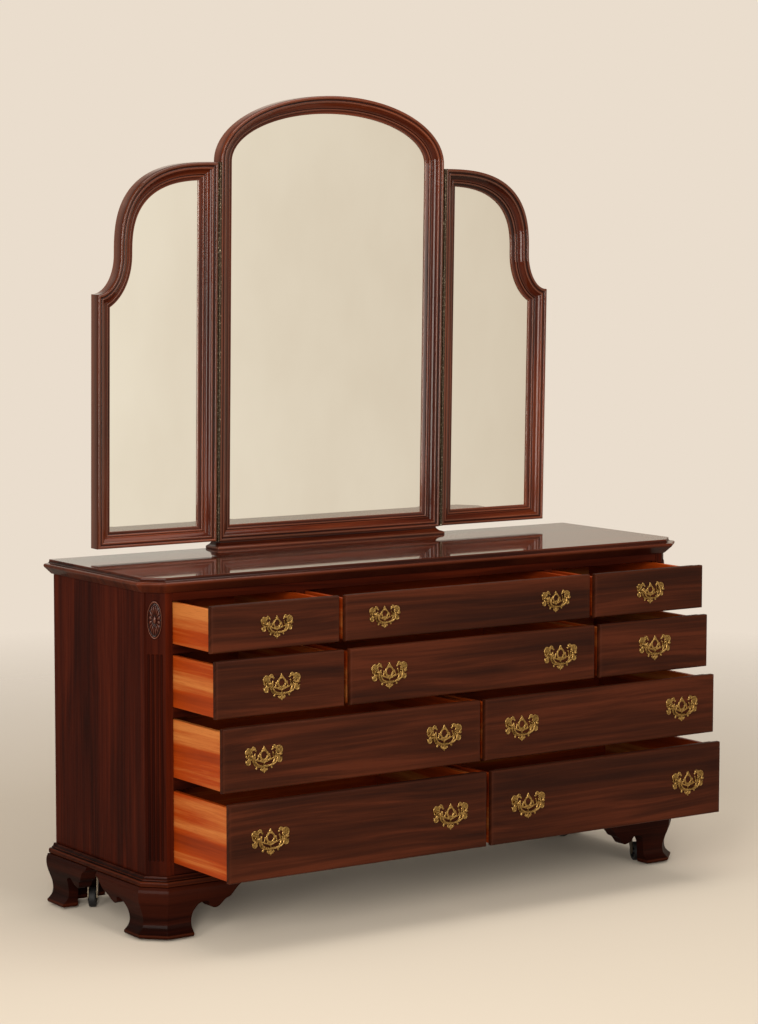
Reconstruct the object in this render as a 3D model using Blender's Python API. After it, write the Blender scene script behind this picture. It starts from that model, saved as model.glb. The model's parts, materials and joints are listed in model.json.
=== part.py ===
"""A dresser of ten drawers with a three-part folding mirror, in metres, +Z up.

The front of the dresser faces -Y. Everything hangs from one empty that stands at the
foot of the case's front plane, so below y = 0 is the front of the case, x = 0 its
middle and z = 0 the floor. The drawers stand open as far as their own values say.
"""
import math

import bpy

# Fits
joint_gap = 0.0003
cut_overrun = 0.004
bond_depth = 0.0008

# Case
case_width = 1.597
case_depth = 0.487
top_height = 0.8726
corner_chamfer = 0.036
side_thickness = 0.020
post_width = 0.0564
post_depth = 0.050
back_thickness = 0.008
back_inset = 0.002

# Top board: its moulded edge, as overhang past the case and height above its underside
top_board_height = 0.0366
top_pocket_border = 0.060
top_pocket_depth = 0.018
top_edge_overhangs = (
    0.0055, 0.0086, 0.0178, 0.0266, 0.0285, 0.0274, 0.0240, 0.0192, 0.0150, 0.0126, 0.0120)
top_edge_rises = (
    0.0, 0.0016, 0.0100, 0.0182, 0.0214, 0.0248, 0.0268, 0.0276, 0.0292, 0.0330, 0.0366)

# Base frame: its moulded edge, as overhang and height above its underside
base_height = 0.0244
base_pocket_border = 0.060
base_panel_thickness = 0.0080
base_edge_overhangs = (0.0185, 0.0213, 0.0216, 0.0196, 0.0130, 0.0122, 0.0080, 0.0070)
base_edge_rises = (0.0, 0.0020, 0.0090, 0.0125, 0.0140, 0.0170, 0.0200, 0.0244)

# Bracket feet: the S of their face, as overhang and height above the foot's underside
foot_height = 0.131
glide_height = 0.0070
glide_radius = 0.009
glide_inset = 0.022
heel_margin = 0.012
bracket_reach = 0.235
back_bracket_reach = 0.200
bracket_backing = 0.016
rear_brace_reach = 0.130
foot_face_overhangs = (
    0.0248, 0.0265, 0.0260, 0.0182, 0.0122, 0.0100, 0.0122, 0.0196, 0.0268, 0.0285, 0.0235)
foot_face_rise_shares = (0.0, 0.035, 0.080, 0.115, 0.19, 0.29, 0.43, 0.575, 0.735, 0.87, 1.0)
# The scrolled lower edge of a bracket, from the leg outwards: shares of its reach and height
bracket_edge_shares = (
    (0.451, 0.0), (0.458, 0.148), (0.431, 0.369), (0.434, 0.508), (0.477, 0.631), (0.557, 0.672),
    (0.601, 0.648), (0.618, 0.566), (0.679, 0.507), (0.732, 0.525), (0.776, 0.619), (0.803, 0.667),
    (0.847, 0.701), (0.883, 0.780), (0.935, 0.880), (1.0, 0.940))

# Casters behind the feet
wheel_radius = 0.025
wheel_width = 0.018
wheel_crown = 0.003
wheel_lift = 0.001
axle_radius = 0.0038
axle_clearance = 0.0004
caster_trail = 0.022
caster_height = 0.080
caster_side_inset = 0.066
caster_end_inset = 0.072
caster_block_margin = 0.025
fork_thickness = 0.0022
fork_side_gap = 0.0010
fork_arm_width = 0.016
fork_head_length = 0.030
fork_head_height = 0.004
swivel_radius = 0.012
caster_turns_deg = {"front_left": 35.0, "front_right": -20.0, "back_left": -34.5, "back_right": 60.0}

# Drawer rows, from the top one down
row_names = ("r1", "r2", "r3", "r4")
row_front_heights = (0.1113, 0.1361, 0.1520, 0.1860)
row_openings = (0.1641, 0.1848, 0.2139, 0.2415)
row_is_split_in_three = (True, True, False, False)
top_rail_height = 0.0208
rails_between_rows = (0.0242, 0.0258, 0.0295)
small_opening_width = 0.348
stile_width = 0.0261
centre_stile_width = 0.0246
lip_side = 0.0048
lip_above = 0.0066
lip_below = 0.0019

# Dust frames that carry the drawers
rail_depth = 0.060
rear_rail_depth = 0.030
runner_width = 0.035
dust_panel_thickness = 0.006
guide_height = 0.018

# Drawers
front_thickness = 0.0214
front_edge_insets = (0.0, 0.0, 0.0008, 0.0026, 0.0048)
front_edge_depths = (0.0, 0.0160, 0.0192, 0.0209, 0.0214)
box_length = 0.440
box_wall = 0.0127
box_floor = 0.006
box_floor_lift = 0.008
box_headroom = 0.0036
box_side_clearance = 0.0015
running_gap = 0.0004

# Pulls: a pierced plate shaped like a bat's wing, two posts and a hanging bail
pull_place_share = 0.709
plate_drop = 0.004
plate_half_width = 0.0545
plate_half_height = 0.033
plate_thickness = 0.0018
post_spacing = 0.076
post_rise = 0.011
pull_post_radius = 0.0040
pull_post_length = 0.0120
pull_post_hole_radius = 0.0023
bail_pivot_height = 0.0085
bail_pin_radius = 0.0018
bail_end_radius = 0.0022
bail_mid_radius = 0.0030
bail_arm_in = 0.0066
bail_tip_length = 0.0024
bail_drop = 0.0250
top_row_pull_scale = 0.85
# Half a bail's bow, from its arm to its middle: shares of its reach and its drop
bail_bow_shares = (
    (1.0, 0.0), (1.0, 0.24), (0.96, 0.46), (0.84, 0.70), (0.64, 0.88), (0.34, 0.98), (0.0, 1.0))
post_head_share = 0.8
# The right half of a plate's edge, from its top to its bottom: shares of its half sizes
plate_edge_shares = (
    (0.0, 0.92), (0.10, 0.70), (0.22, 0.42), (0.38, 0.40), (0.43, 0.80), (0.56, 1.0), (0.88, 0.86),
    (0.97, 0.55), (0.88, 0.20), (0.96, -0.02), (0.88, -0.32), (0.66, -0.30), (0.54, -0.18),
    (0.40, -0.56), (0.20, -0.58), (0.18, -0.86))

# Corner posts: flutes and a carved oval on the chamfer
flute_count = 4
flute_pitch = 0.0105
flute_radius = 0.0046
flute_depth = 0.0024
flute_bottom = 0.189
flute_top = 0.689
flute_radius_shares = (0.35, 0.8, 1.0, 1.0, 0.8, 0.35)
oval_drop = 0.0656
oval_half_width = 0.019
oval_half_height = 0.047
oval_relief = 0.0035
# The oval's dome, from its rim to its middle: shares of its half sizes and its relief
oval_dome_shares = ((1.0, 0.0), (1.0, 0.45), (0.80, 1.0), (0.45, 0.55), (0.22, 0.95))

# Mirror: the centre frame stands on a moulded base, the wings hang on its sides
mirror_front = 0.434
mirror_base_width = 0.714
mirror_base_front = 0.4247
mirror_base_height = 0.0194
mirror_base_insets = (0.0, 0.0, 0.0020, 0.0090, 0.0150, 0.0170)
mirror_base_rises = (0.0, 0.0062, 0.0078, 0.0102, 0.0148, 0.0194)
mirror_lean_deg = 1.05
centre_half_width = 0.3476
centre_spring = 1.8616
centre_apex = 2.0337
wing_width = 0.3466
wing_top = 1.8580
wing_curve_width = 0.2830
wing_curve_spring = 1.626
wing_curve_fullness = 2.75
wing_shoulder = 1.5285
wing_bottom_gap = 0.0016
# The frame's moulding, as inset from the outer edge and depth behind its front
moulding_insets = (
    0.0, 0.0, 0.0012, 0.0042, 0.0078, 0.0092, 0.0125, 0.0200, 0.0300, 0.0340, 0.0360, 0.0460)
moulding_depths = (
    0.0380, 0.0060, 0.0018, 0.0, 0.0014, 0.0048, 0.0048, 0.0090, 0.0165, 0.0180, 0.0195, 0.0245)
glass_lap = 0.007
glass_thickness = 0.005
glass_bevel_width = 0.020
glass_bevel_depth = 0.0014
lip_backing = 0.003

# Mirror hinges and the standards behind the mirror
hinge_gap = 0.0064
hinge_barrel_radius = 0.0026
hinge_leaf_thickness = 0.0014
hinge_leaf_bite = 0.004
hinge_knuckles = 7
standard_offset = 0.200
standard_width = 0.050
standard_thickness = 0.019
standard_bottom = 0.609
standard_top = 1.309
cleat_height = 0.080

# Facets of the round pieces, and the angle above which their edges stay sharp
round_edge_deg = 45.0
arch_steps = 22
wing_curve_steps = 11
wing_scoop_steps = 5
bail_sides = 6
post_sides = 8
hole_sides = 6
wheel_sides = 18
oval_sides = 20
flute_sides = 10

# Places that follow from the sizes
half_width = case_width / 2
opening_edge = half_width - post_width
inner_edge = half_width - side_thickness
case_bottom = foot_height + base_height
case_top = top_height - top_board_height
back_front_face = case_depth - back_inset - back_thickness
front_reach = row_openings[-1] + front_thickness + plate_thickness + pull_post_length
standard_front = case_depth + joint_gap
back_reach = standard_front + standard_thickness
case_front_y = (front_reach - back_reach) / 2
glass_depth = moulding_depths[-1] + lip_backing
mirror_base_top = top_height + joint_gap + mirror_base_height

wood_dark = (0.105, 0.022, 0.012)
wood_side = (0.560, 0.160, 0.040)
wood_plain = (0.340, 0.190, 0.095)
brass = (0.480, 0.300, 0.090)
mirror_silver = (0.800, 0.780, 0.700)
black_steel = (0.030, 0.030, 0.032)
black_rubber = (0.015, 0.015, 0.016)


def clear_scene():
    """Remove whatever objects the file holds."""
    for old in list(bpy.data.objects):
        bpy.data.objects.remove(old, do_unlink=True)


def material(name, colour, roughness, metallic):
    """A plain Principled finish."""
    made = bpy.data.materials.new(name)
    made.use_nodes = True
    shader = made.node_tree.nodes["Principled BSDF"]
    shader.inputs["Base Color"].default_value = (*colour, 1.0)
    shader.inputs["Roughness"].default_value = roughness
    shader.inputs["Metallic"].default_value = metallic
    made.diffuse_color = (*colour, 1.0)
    return made


def mesh_from(points, faces):
    """A mesh of these points and faces."""
    made = bpy.data.meshes.new("shape")
    made.from_pydata([tuple(point) for point in points], [], faces)
    made.update()
    return made


def box(low, high):
    """A box between two corners."""
    points = [(x, y, z) for z in (low[2], high[2]) for y in (low[1], high[1]) for x in (low[0], high[0])]
    faces = [(0, 2, 3, 1), (4, 5, 7, 6), (0, 1, 5, 4), (2, 6, 7, 3), (0, 4, 6, 2), (1, 3, 7, 5)]
    return mesh_from(points, faces)


def loft(rings):
    """A closed body through rings of equal count, capped by a face at either end."""
    count = len(rings[0])
    points = [point for ring in rings for point in ring]
    faces = []
    for level in range(len(rings) - 1):
        start = level * count
        for step in range(count):
            after = (step + 1) % count
            faces.append((start + step, start + after, start + count + after, start + count + step))
    last = (len(rings) - 1) * count
    faces.append(tuple(reversed(range(count))))
    faces.append(tuple(range(last, last + count)))
    made = mesh_from(points, faces)
    if enclosed_volume(made) < 0:
        made.flip_normals()
    return made


def enclosed_volume(mesh):
    """The signed volume inside a closed mesh."""
    total = 0.0
    for face in mesh.polygons:
        corners = [mesh.vertices[index].co for index in face.vertices]
        for second, third in zip(corners[1:-1], corners[2:]):
            total += corners[0].dot(second.cross(third)) / 6
    return total


def prism(outline, low, high, place):
    """An outline carried from low to high; place turns (u, v, height) into a point."""
    rings = [[place(u, v, level) for u, v in outline] for level in (low, high)]
    return loft(rings)


def round_bar(radii, heights, sides, place):
    """A turned body: rings of the radii at the heights, put in place as a prism is."""
    turns = [math.tau * (step + 0.5) / sides for step in range(sides)]
    rings = []
    for radius, height in zip(radii, heights):
        rings.append([place(radius * math.cos(turn), radius * math.sin(turn), height) for turn in turns])
    return loft(rings)


def edge_normal(start, end):
    """The unit normal on the left of an edge, inwards for an anticlockwise outline."""
    length = math.dist(start, end)
    return ((start[1] - end[1]) / length, (end[0] - start[0]) / length)


def add_temporary(mesh, collection):
    """An object for a mesh that a Boolean works on."""
    holder = bpy.data.objects.new("temporary", mesh)
    collection.objects.link(holder)
    return holder


def boolean(target, others, operation):
    """The target mesh joined with, or cut by, the other meshes."""
    scene_items = bpy.context.scene.collection
    group = bpy.data.collections.new("operands")
    holder = add_temporary(target, scene_items)
    operands = [add_temporary(other, group) for other in others]
    step = holder.modifiers.new("boolean", "BOOLEAN")
    step.operation = operation
    step.solver = "EXACT"
    step.operand_type = "COLLECTION"
    step.collection = group
    depsgraph = bpy.context.evaluated_depsgraph_get()
    result = bpy.data.meshes.new_from_object(holder.evaluated_get(depsgraph))
    for item in [holder] + operands:
        bpy.data.objects.remove(item, do_unlink=True)
    bpy.data.collections.remove(group)
    return result


def add_node(name, mesh, finish, parent, smooth_deg=0.0):
    """The object of one sub-part, hung from its parent."""
    mesh.name = name
    mesh.materials.clear()
    mesh.materials.append(finish)
    if smooth_deg:
        mesh.shade_smooth()
        mesh.set_sharp_from_angle(angle=math.radians(smooth_deg))
    node = bpy.data.objects.new(name, mesh)
    bpy.context.scene.collection.objects.link(node)
    node.parent = parent
    return node


def add_empty(name, parent, place=(0.0, 0.0, 0.0), turn_deg=0.0, lean_deg=0.0):
    """An empty on a joint's axis, or at the foot of the case."""
    empty = bpy.data.objects.new(name, None)
    bpy.context.scene.collection.objects.link(empty)
    empty.parent = parent
    empty.location = place
    empty.rotation_euler = (math.radians(lean_deg), 0.0, math.radians(turn_deg))
    return empty


def corner_length(overhang):
    """How far a front corner's chamfer reaches along the case, where the plan is grown by an overhang."""
    return corner_chamfer - overhang * (math.sqrt(2.0) - 1.0)


def case_outline(overhang, back):
    """The case in plan, grown by an overhang on its front and sides, ending at a back line."""
    side = half_width + overhang
    corner = corner_length(overhang)
    return [(-side, back), (-side, corner), (corner - half_width, -overhang),
            (half_width - corner, -overhang), (side, corner), (side, back)]


def ring_at(outline, height):
    """A flat outline lifted to a height."""
    return [(x, y, height) for x, y in outline]


# Case pieces

def make_top_board():
    """The top: a moulded slab, hollowed below where the dust frame closes it."""
    border, back = top_pocket_border, case_depth - top_pocket_border
    rings = [ring_at(case_outline(-border, back), case_top + top_pocket_depth),
             ring_at(case_outline(-border, back), case_top)]
    for overhang, rise in zip(top_edge_overhangs, top_edge_rises):
        rings.append(ring_at(case_outline(overhang, case_depth), case_top + rise))
    return loft(rings)


def make_base_frame():
    """The base: a moulded frame with a thin floor."""
    border, back = base_pocket_border, case_depth - base_pocket_border
    bottom = foot_height + joint_gap
    rings = []
    for overhang, rise in zip(base_edge_overhangs, base_edge_rises):
        level = max(bottom, foot_height + rise)
        rings.append(ring_at(case_outline(overhang, case_depth), level))
    rings.append(ring_at(case_outline(-border, back), case_bottom))
    rings.append(ring_at(case_outline(-border, back), bottom + base_panel_thickness))
    return loft(rings)


def chamfer_place(side):
    """Turns (along the chamfer, out of it, height) into a point on a front corner's chamfer."""
    slant = math.sqrt(0.5)
    middle = half_width - corner_chamfer / 2

    def place(along, out, height):
        x = -middle + slant * along - slant * out
        y = corner_chamfer / 2 - slant * along - slant * out
        return (side * x, y, height)

    return place


def make_case_side(side):
    """A side panel and its front corner post, fluted and carved on the chamfer."""
    plan = [(-half_width, case_depth), (-half_width, corner_chamfer), (corner_chamfer - half_width, 0.0),
            (-opening_edge, 0.0), (-opening_edge, post_depth), (-inner_edge, post_depth),
            (-inner_edge, case_depth)]
    panel = prism(plan, case_bottom + joint_gap, case_top - joint_gap, lambda u, v, h: (side * u, v, h))
    place = chamfer_place(side)
    cutters = []
    for step in range(flute_count):
        along = (step - (flute_count - 1) / 2) * flute_pitch
        cutters.append(make_flute(place, along))
    panel = boolean(panel, cutters, "DIFFERENCE")
    return boolean(panel, [make_oval(place)], "UNION")


def make_flute(place, along):
    """One flute's cutter: a round bar whose ends close in."""
    tip = flute_radius
    heights = (flute_bottom, flute_bottom + tip / 3, flute_bottom + tip,
               flute_top - tip, flute_top - tip / 3, flute_top)
    out = flute_radius - flute_depth
    radii = [flute_radius * share for share in flute_radius_shares]
    return round_bar(radii, heights, flute_sides, lambda u, v, h: place(along + u, out + v, h))


def make_oval(place):
    """The carved oval, a low dome on the chamfer."""
    rings = []
    for size_share, relief_share in oval_dome_shares:
        out = relief_share * oval_relief - (0.0 if relief_share else bond_depth)
        ring = []
        for step in range(oval_sides):
            turn = math.tau * step / oval_sides
            along = size_share * oval_half_width * math.cos(turn)
            height = case_top - oval_drop + size_share * oval_half_height * math.sin(turn)
            ring.append(place(along, out, height))
        rings.append(ring)
    return loft(rings)


def make_back_panel():
    """The thin back, let in between the sides."""
    edge = inner_edge - joint_gap
    return box((-edge, back_front_face, case_bottom + joint_gap),
               (edge, back_front_face + back_thickness, case_top - joint_gap))


def row_levels():
    """The bottom and top of each row's opening, from the top row down."""
    levels = []
    top = case_top - joint_gap - top_rail_height
    for step, front_height in enumerate(row_front_heights):
        bottom = top - (front_height - lip_above - lip_below)
        levels.append((bottom, top))
        if step < len(rails_between_rows):
            top = bottom - rails_between_rows[step]
    return levels


def column_edges(split_in_three):
    """The left and right edge of each opening in a row, named."""
    if split_in_three:
        inner = opening_edge - small_opening_width
        middle = inner - stile_width
        return {"left": (-opening_edge, -inner), "middle": (-middle, middle), "right": (inner, opening_edge)}
    inner = centre_stile_width / 2
    return {"left": (-opening_edge, -inner), "right": (inner, opening_edge)}


def make_drawer_frame():
    """Rails, stiles, runners, guides and dust panels, glued up as one skeleton."""
    levels = row_levels()
    rails = [(levels[0][1], case_top - joint_gap)]
    rails += [(below[1], above[0]) for above, below in zip(levels, levels[1:])]
    rails.append((case_bottom + joint_gap, levels[-1][0]))
    behind, back = post_depth + joint_gap, back_front_face - joint_gap
    inner, edge = inner_edge - joint_gap, opening_edge - joint_gap
    small_edge = opening_edge - small_opening_width
    pieces = []
    for number, (low, high) in enumerate(rails):
        rows_beside = row_is_split_in_three[max(number - 1, 0):number + 1]
        middle = (low + high) / 2
        half_panel = dust_panel_thickness / 2
        guide_top = high + (guide_height if number else 0.0)
        pieces.append(box((-edge, 0.0, low), (edge, rail_depth, high)))
        pieces.append(box((-inner, back - rear_rail_depth, low), (inner, back, high)))
        pieces.append(box((-inner, behind, middle - half_panel), (inner, back, middle + half_panel)))
        for side in (-1, 1):
            ends = sorted((side * (edge - runner_width), side * inner))
            pieces.append(box((ends[0], behind, low), (ends[1], back, high)))
            guide = sorted((side * opening_edge, side * inner))
            pieces.append(box((guide[0], behind, low), (guide[1], back, guide_top)))
            if any(rows_beside):
                run = sorted((side * (small_edge - stile_width - runner_width),
                              side * (small_edge + runner_width)))
                pieces.append(box((run[0], 0.0, low), (run[1], back, high)))
        if not all(rows_beside):
            reach = centre_stile_width / 2 + runner_width
            pieces.append(box((-reach, 0.0, low), (reach, back, high)))
    centres = [(low + high) / 2 for low, high in rails]
    divide = centres[sum(row_is_split_in_three)]
    for side in (-1, 1):
        ends = sorted((side * (small_edge - stile_width), side * small_edge))
        pieces.append(box((ends[0], 0.0, divide), (ends[1], back, centres[0])))
    half_stile = centre_stile_width / 2
    pieces.append(box((-half_stile, 0.0, centres[-1]), (half_stile, back, divide)))
    return boolean(pieces[0], pieces[1:], "UNION")


# Feet and casters

def make_foot(side, front):
    """A bracket foot at one corner, with its glue block and glide."""

    def place(u, v, height):
        return (side * (half_width - u), v if front else case_depth - v, height)

    rings = []
    for overhang, share in zip(foot_face_overhangs, foot_face_rise_shares):
        height = glide_height + share * (foot_height - glide_height)
        rings.append([place(u, v, height) for u, v in foot_plan(overhang, front)])
    foot = loft(rings)
    bracket = bracket_length(front)
    reach = bracket + cut_overrun
    below = -cut_overrun
    edge = [(share * bracket, rise * foot_height) for share, rise in bracket_edge_shares]
    edge[0] = (edge[0][0], below)
    edge += [(reach, edge[-1][1]), (reach, below)]
    out, inside = -max(foot_face_overhangs) - cut_overrun, bracket_backing + cut_overrun
    cutters = [prism(edge, out, inside, lambda along, height, across: place(across, along, height))]
    if front:
        cutters.append(prism(edge, out, inside, lambda along, height, across: place(along, across, height)))
    foot = boolean(foot, cutters, "DIFFERENCE")
    block_far = (caster_side_inset + caster_block_margin, caster_end_inset + caster_block_margin)
    inner = bracket_backing - bond_depth
    corners = [place(inner, inner, caster_height), place(*block_far, foot_height)]
    low = [min(values) for values in zip(*corners)]
    high = [max(values) for values in zip(*corners)]
    glide = round_bar((glide_radius, glide_radius), (0.0, glide_height + bond_depth), post_sides,
                      lambda u, v, h: place(glide_inset + u, glide_inset + v, h))
    return boolean(foot, [box(low, high), heel_block(place), glide], "UNION")


def heel_block(place):
    """The upright glue block in the corner of a foot, which the glide is driven into."""
    inner, far = bracket_backing - bond_depth, glide_inset + heel_margin
    corners = [place(inner, inner, glide_height), place(far, far, foot_height)]
    low = [min(values) for values in zip(*corners)]
    high = [max(values) for values in zip(*corners)]
    return box(low, high)


def bracket_length(front):
    """How far a foot's brackets reach along the case."""
    return bracket_reach if front else back_bracket_reach


def foot_plan(overhang, front):
    """A foot in plan: distances in from the case's side and from its front or back."""
    bracket = bracket_length(front)
    if front:
        corner = corner_length(overhang)
        return [(-overhang, bracket), (-overhang, corner), (corner, -overhang),
                (bracket, -overhang), (bracket, bracket_backing),
                (bracket_backing, bracket_backing), (bracket_backing, bracket)]
    return [(-overhang, bracket), (-overhang, 0.0), (rear_brace_reach, 0.0),
            (rear_brace_reach, bracket_backing), (bracket_backing, bracket_backing),
            (bracket_backing, bracket)]


def make_fork():
    """A caster's fork and axle; the swivel axis is at its origin, the wheel trails along +Y."""
    top = caster_height - joint_gap
    head_low = top - fork_head_height
    half_inner = wheel_width / 2 + fork_side_gap
    half_outer = half_inner + fork_thickness
    axle_height = wheel_radius + wheel_lift
    pieces = []
    half_arm = fork_arm_width / 2
    arm = [(-fork_head_length / 2, head_low), (caster_trail - half_arm, axle_height),
           (caster_trail - half_arm / 2, axle_height - half_arm),
           (caster_trail + half_arm / 2, axle_height - half_arm),
           (caster_trail + half_arm, axle_height), (fork_head_length / 2 + half_arm, head_low),
           (fork_head_length / 2, head_low + fork_head_height / 2),
           (-fork_head_length / 2, head_low + fork_head_height / 2)]
    for side in (-1, 1):
        low, high = sorted((side * half_inner, side * half_outer))
        pieces.append(prism(arm, low, high, lambda along, height, across: (across, along, height)))
    head = box((-half_outer, -fork_head_length / 2, head_low),
               (half_outer, fork_head_length / 2, head_low + fork_head_height / 2))
    swivel = round_bar((swivel_radius, swivel_radius), (head_low + fork_head_height / 4, top), wheel_sides,
                       lambda u, v, h: (u, v, h))
    axle_end = half_outer + fork_thickness / 2
    axle = round_bar((axle_radius, axle_radius), (-axle_end, axle_end), post_sides,
                     lambda u, v, h: (h, caster_trail + u, axle_height + v))
    return boolean(head, pieces + [swivel, axle], "UNION")


def make_wheel():
    """A caster wheel with its bore, about its own centre; the axle runs along X."""
    bore = (axle_radius + axle_clearance) / math.cos(math.pi / wheel_sides)
    half = wheel_width / 2
    radii = (bore, wheel_radius - wheel_crown, wheel_radius, wheel_radius, wheel_radius - wheel_crown, bore)
    places = (-half, -half, -half + wheel_crown, half - wheel_crown, half, half)
    points, faces = [], []
    for radius, across in zip(radii, places):
        for step in range(wheel_sides):
            turn = math.tau * step / wheel_sides
            points.append((across, radius * math.cos(turn), radius * math.sin(turn)))
    rings = len(radii)
    for ring in range(rings):
        for step in range(wheel_sides):
            after = (step + 1) % wheel_sides
            this, following = ring * wheel_sides, ((ring + 1) % rings) * wheel_sides
            faces.append((this + step, this + after, following + after, following + step))
    made = mesh_from(points, faces)
    if enclosed_volume(made) < 0:
        made.flip_normals()
    return made


# Drawers and pulls

def make_drawer_box(width, height):
    """Two sides, a back and a floor; it starts at the front's back face and runs to +Y."""
    half = width / 2
    start, end = joint_gap, box_length
    plan = [(-half, start), (-half + box_wall, start), (-half + box_wall, end - box_wall),
            (half - box_wall, end - box_wall), (half - box_wall, start), (half, start), (half, end),
            (-half, end)]
    walls = prism(plan, 0.0, height, lambda u, v, h: (u, v, h))
    reach = half - box_wall + bond_depth
    floor = box((-reach, start, box_floor_lift),
                (reach, end - box_wall + bond_depth, box_floor_lift + box_floor))
    return boolean(walls, [floor], "UNION")


def make_drawer_front(low, high, pulls, scale):
    """A lipped front with a thumbnail edge, and its pulls' plates and posts."""
    rings = []
    for edge, depth in zip(front_edge_insets, front_edge_depths):
        rings.append([(low[0] + edge, -depth, low[1] + edge), (high[0] - edge, -depth, low[1] + edge),
                      (high[0] - edge, -depth, high[1] - edge), (low[0] + edge, -depth, high[1] - edge)])
    front = loft(rings)
    additions, holes = [], []
    for x, z in pulls:
        additions.append(make_plate(x, z, scale))
        post_z = z + scale * post_rise
        for side in (-1, 1):
            post_x = x + side * scale * post_spacing / 2
            reach = -front_thickness - plate_thickness - pull_post_length

            def across(u, v, h, post_x=post_x, post_z=post_z):
                return (post_x + u, h, post_z + v)

            def along(u, v, h, post_x=post_x, post_z=post_z):
                return (post_x + h, bail_axis_y() + u, post_z + v)

            radius = pull_post_radius
            head = post_head_share * radius
            additions.append(round_bar((radius, radius, head),
                                       (bond_depth - front_thickness, reach + radius - head, reach),
                                       post_sides, across))
            hole_radii = (pull_post_hole_radius, pull_post_hole_radius)
            holes.append(round_bar(hole_radii, (-2 * radius, 2 * radius), hole_sides, along))
    front = boolean(front, additions, "UNION")
    return boolean(front, holes, "DIFFERENCE")


def bail_axis_y():
    """Where a bail's pins run, in front of a drawer's back face."""
    return -(front_thickness + plate_thickness + bail_pivot_height)


def make_plate(x, z, scale):
    """The plate of one pull: half an outline, mirrored."""
    right = [(across * plate_half_width, up * plate_half_height) for across, up in plate_edge_shares]
    bottom = (0.0, -plate_half_height)
    left = [(-u, v) for u, v in reversed(right[1:])]
    outline = right + [bottom] + left
    back, face = bond_depth - front_thickness, -front_thickness - plate_thickness
    return prism(outline, back, face, lambda u, v, h: (x + scale * u, h, z + scale * v))


def make_bail(scale):
    """A hanging bail about its own pins' axis, which runs along X through the origin."""
    post_place = scale * post_spacing / 2
    reach = post_place - bail_arm_in
    tip = post_place + pull_post_radius + bail_tip_length
    swell = bail_mid_radius - bail_end_radius
    bow = [(reach * across, -scale * bail_drop * down) for across, down in bail_bow_shares]
    sizes = [bail_end_radius + swell * down for across, down in bail_bow_shares]
    path = bow + [(-x, z) for x, z in reversed(bow[:-1])]
    radii = sizes + sizes[-2::-1]
    pin_start = post_place - pull_post_radius - joint_gap
    path = [(tip, 0.0), (pin_start, 0.0)] + path + [(-pin_start, 0.0), (-tip, 0.0)]
    radii = [bail_pin_radius] * 2 + radii + [bail_pin_radius] * 2
    rings = []
    for step, ((x, z), radius) in enumerate(zip(path, radii)):
        before, after = path[max(step - 1, 0)], path[min(step + 1, len(path) - 1)]
        normal = edge_normal(before, after)
        ring = []
        for corner in range(bail_sides):
            turn = math.tau * corner / bail_sides
            out, depth = radius * math.cos(turn), radius * math.sin(turn)
            ring.append((x + out * normal[0], depth, z + out * normal[1]))
        rings.append(ring)
    return loft(rings)


# Mirror

def mirror_place(u, depth, v):
    """A point of the centre mirror, which leans forwards about the front of its base's top."""
    lean = math.radians(mirror_lean_deg)
    rise = v - mirror_base_top
    return (u, mirror_front + depth * math.cos(lean) - rise * math.sin(lean),
            mirror_base_top + rise * math.cos(lean) + depth * math.sin(lean))


def arch_outline(edge):
    """The centre frame's outline, drawn an edge inwards, anticlockwise seen from the front."""
    bottom = mirror_base_top + edge
    half, rise = centre_half_width - edge, centre_apex - centre_spring - edge
    points = [(-half, bottom), (half, bottom)]
    for step in range(arch_steps + 1):
        turn = math.pi * step / arch_steps
        points.append((half * math.cos(turn), centre_spring + rise * math.sin(turn)))
    return points


def wing_outline(edge):
    """A right wing's outline, drawn an edge inwards, from its hinge side outwards.

    Its shoulder is scooped by an ellipse about a point outside the wing, and its top is
    a full quarter oval about a point on the hinge side.
    """
    bottom = mirror_base_top + wing_bottom_gap + edge
    outer = wing_width - edge
    points = [(edge, bottom), (outer, bottom)]
    scoop_width = wing_width - wing_curve_width + edge
    scoop_rise = wing_curve_spring - wing_shoulder + edge
    scoop_turn = math.acos(edge / scoop_width)
    for step in range(wing_scoop_steps + 1):
        turn = scoop_turn * (1 - step / wing_scoop_steps)
        points.append((wing_width - scoop_width * math.cos(turn),
                       wing_curve_spring - scoop_rise * math.sin(turn)))
    width, rise = wing_curve_width - edge, wing_top - wing_curve_spring - edge
    power = 2 / wing_curve_fullness
    curve_turn = math.acos((edge / width) ** (1 / power))
    for step in range(1, wing_curve_steps + 1):
        turn = curve_turn * step / wing_curve_steps
        across, up = max(math.cos(turn), 0.0) ** power, math.sin(turn) ** power
        points.append((width * across, wing_curve_spring + rise * up))
    return points


def make_mirror_frame(outline_at, place):
    """A moulded frame and its backboard, hollowed for the glass from the back of its lip."""
    rings = []
    for edge, depth in zip(moulding_insets, moulding_depths):
        rings.append([place(u, depth, v) for u, v in outline_at(edge)])
    sight, pocket = outline_at(moulding_insets[-1]), outline_at(moulding_insets[-1] - glass_lap)
    pocket_floor = glass_depth + glass_thickness + 2 * joint_gap
    rings.append([place(u, glass_depth, v) for u, v in sight])
    rings.append([place(u, glass_depth, v) for u, v in pocket])
    rings.append([place(u, pocket_floor, v) for u, v in pocket])
    return loft(rings)


def make_mirror_glass(outline_at, place):
    """A glass with a bevelled border, standing in its frame's pocket."""
    edge = outline_at(moulding_insets[-1] - glass_lap + joint_gap)
    flat = outline_at(moulding_insets[-1] - glass_lap + glass_bevel_width)
    front = glass_depth + joint_gap
    rings = [[place(u, front + glass_thickness, v) for u, v in edge],
             [place(u, front + glass_bevel_depth, v) for u, v in edge],
             [place(u, front, v) for u, v in flat]]
    return loft(rings)


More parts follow.
